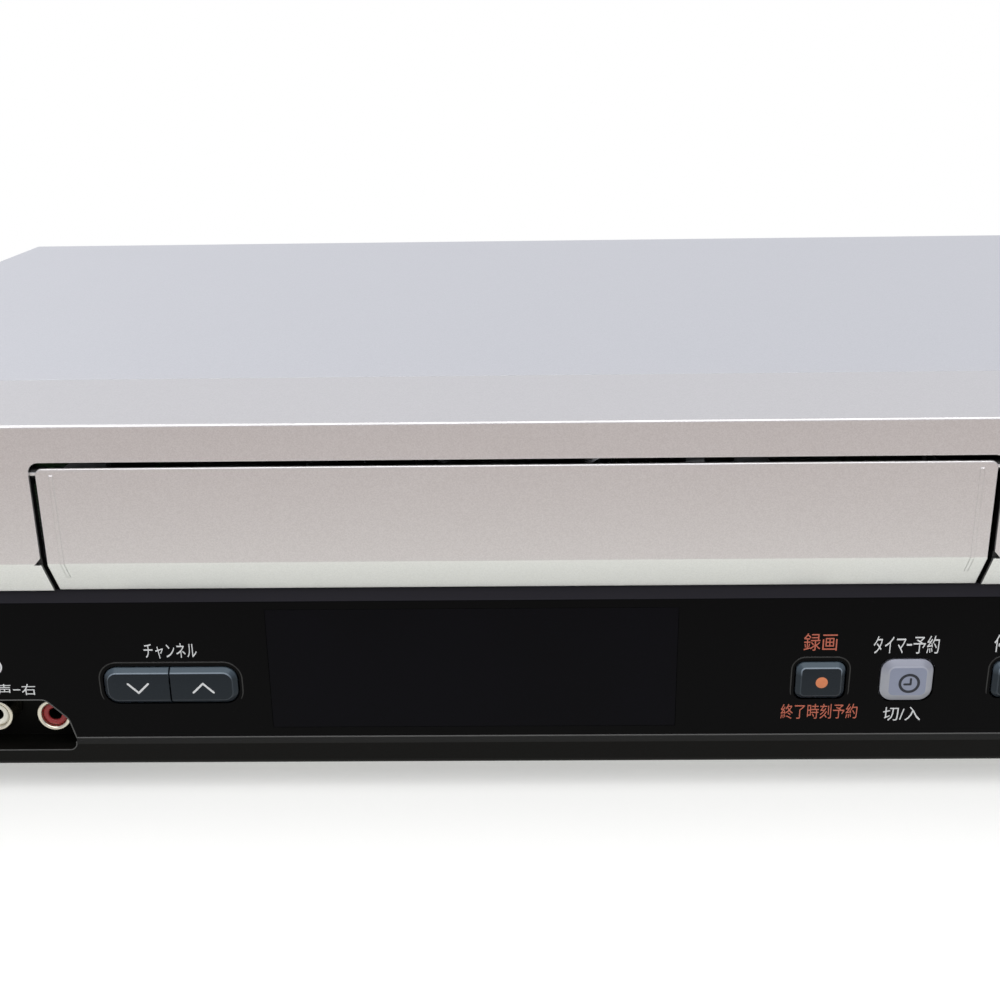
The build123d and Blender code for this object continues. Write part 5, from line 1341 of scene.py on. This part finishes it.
def silver_grain(shading, place):
    """The metal grain in the paint and its slow cloud."""
    cells = {"Vector": place, "Scale": 1 / paint_grain}
    flake = shading.node("ShaderNodeTexVoronoi", {}, cells, "Color")
    glint = shading.node("ShaderNodeSeparateColor", {}, {"Color": flake})
    return glint, noise(shading, place, 30 * mm, 3.0)


def bezel_look(shading, place):
    height = along(shading, place, "Z")
    fall = shading.math("MAXIMUM", crease_z - height, 0.0) * facet_fall
    skin = (along(shading, place, "Y") - fall) < front_plane + paint_depth
    end = shading.math("ABSOLUTE", along(shading, place, "X"), 0) > painted_end
    painted = shading.math("MAXIMUM", shading.math("MAXIMUM", skin, height > painted_top), end)
    glint, cloud = silver_grain(shading, place)
    face_tone = blend(shading, glint, (0.71, 0.695, 0.69), (0.79, 0.775, 0.77))
    # Below the crease the paint is paler: painted light from below on the downward facet.
    facet_lit_tone = blend(shading, glint, (0.84, 0.85, 0.82), (0.92, 0.93, 0.90))
    tone = blend(shading, height < crease_z, face_tone, facet_lit_tone)
    return {
        "Base Color": blend(shading, painted, bare_black, tone),
        "Metallic": 0.85 * painted,
        "Roughness": 0.45 - painted * 0.17 + painted * (0.04 * cloud + 0.06 * glint),
        "Normal": relief(shading, glint, grain_depth, paint_round),
    }


silver_moulding = finish("silver_moulding", bezel_look)
dress(silver_moulding, "front_bezel", "cassette_door")


# Cover: steel sheet bent over the top and sides, in satin silver paint outside. Inside, the steel is bare
# and rougher, and its dark tone is painted shade.
cover_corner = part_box("top_cover")[1]
sheet_skin = 0.7 * mm


def cover_look(shading, place):
    below = along(shading, place, "Z") < cover_corner.z - sheet_skin
    inside = shading.math("ABSOLUTE", along(shading, place, "X"), 0) < cover_corner.x - sheet_skin
    bare = below * inside
    glint, cloud = silver_grain(shading, place)
    tone = blend(shading, glint, (0.67, 0.675, 0.70), (0.74, 0.745, 0.77))
    return {
        # Inside the sheet the dark tone is painted shade.
        "Base Color": blend(shading, bare, tone, (0.14, 0.14, 0.143)),
        "Roughness": 0.37 + 0.05 * cloud + 0.06 * glint + 0.15 * bare,
        "Normal": relief(shading, glint, grain_depth, paint_round),
    }


cover_paint = finish("cover_paint", cover_look, Metallic=0.8)
dress(cover_paint, "top_cover")
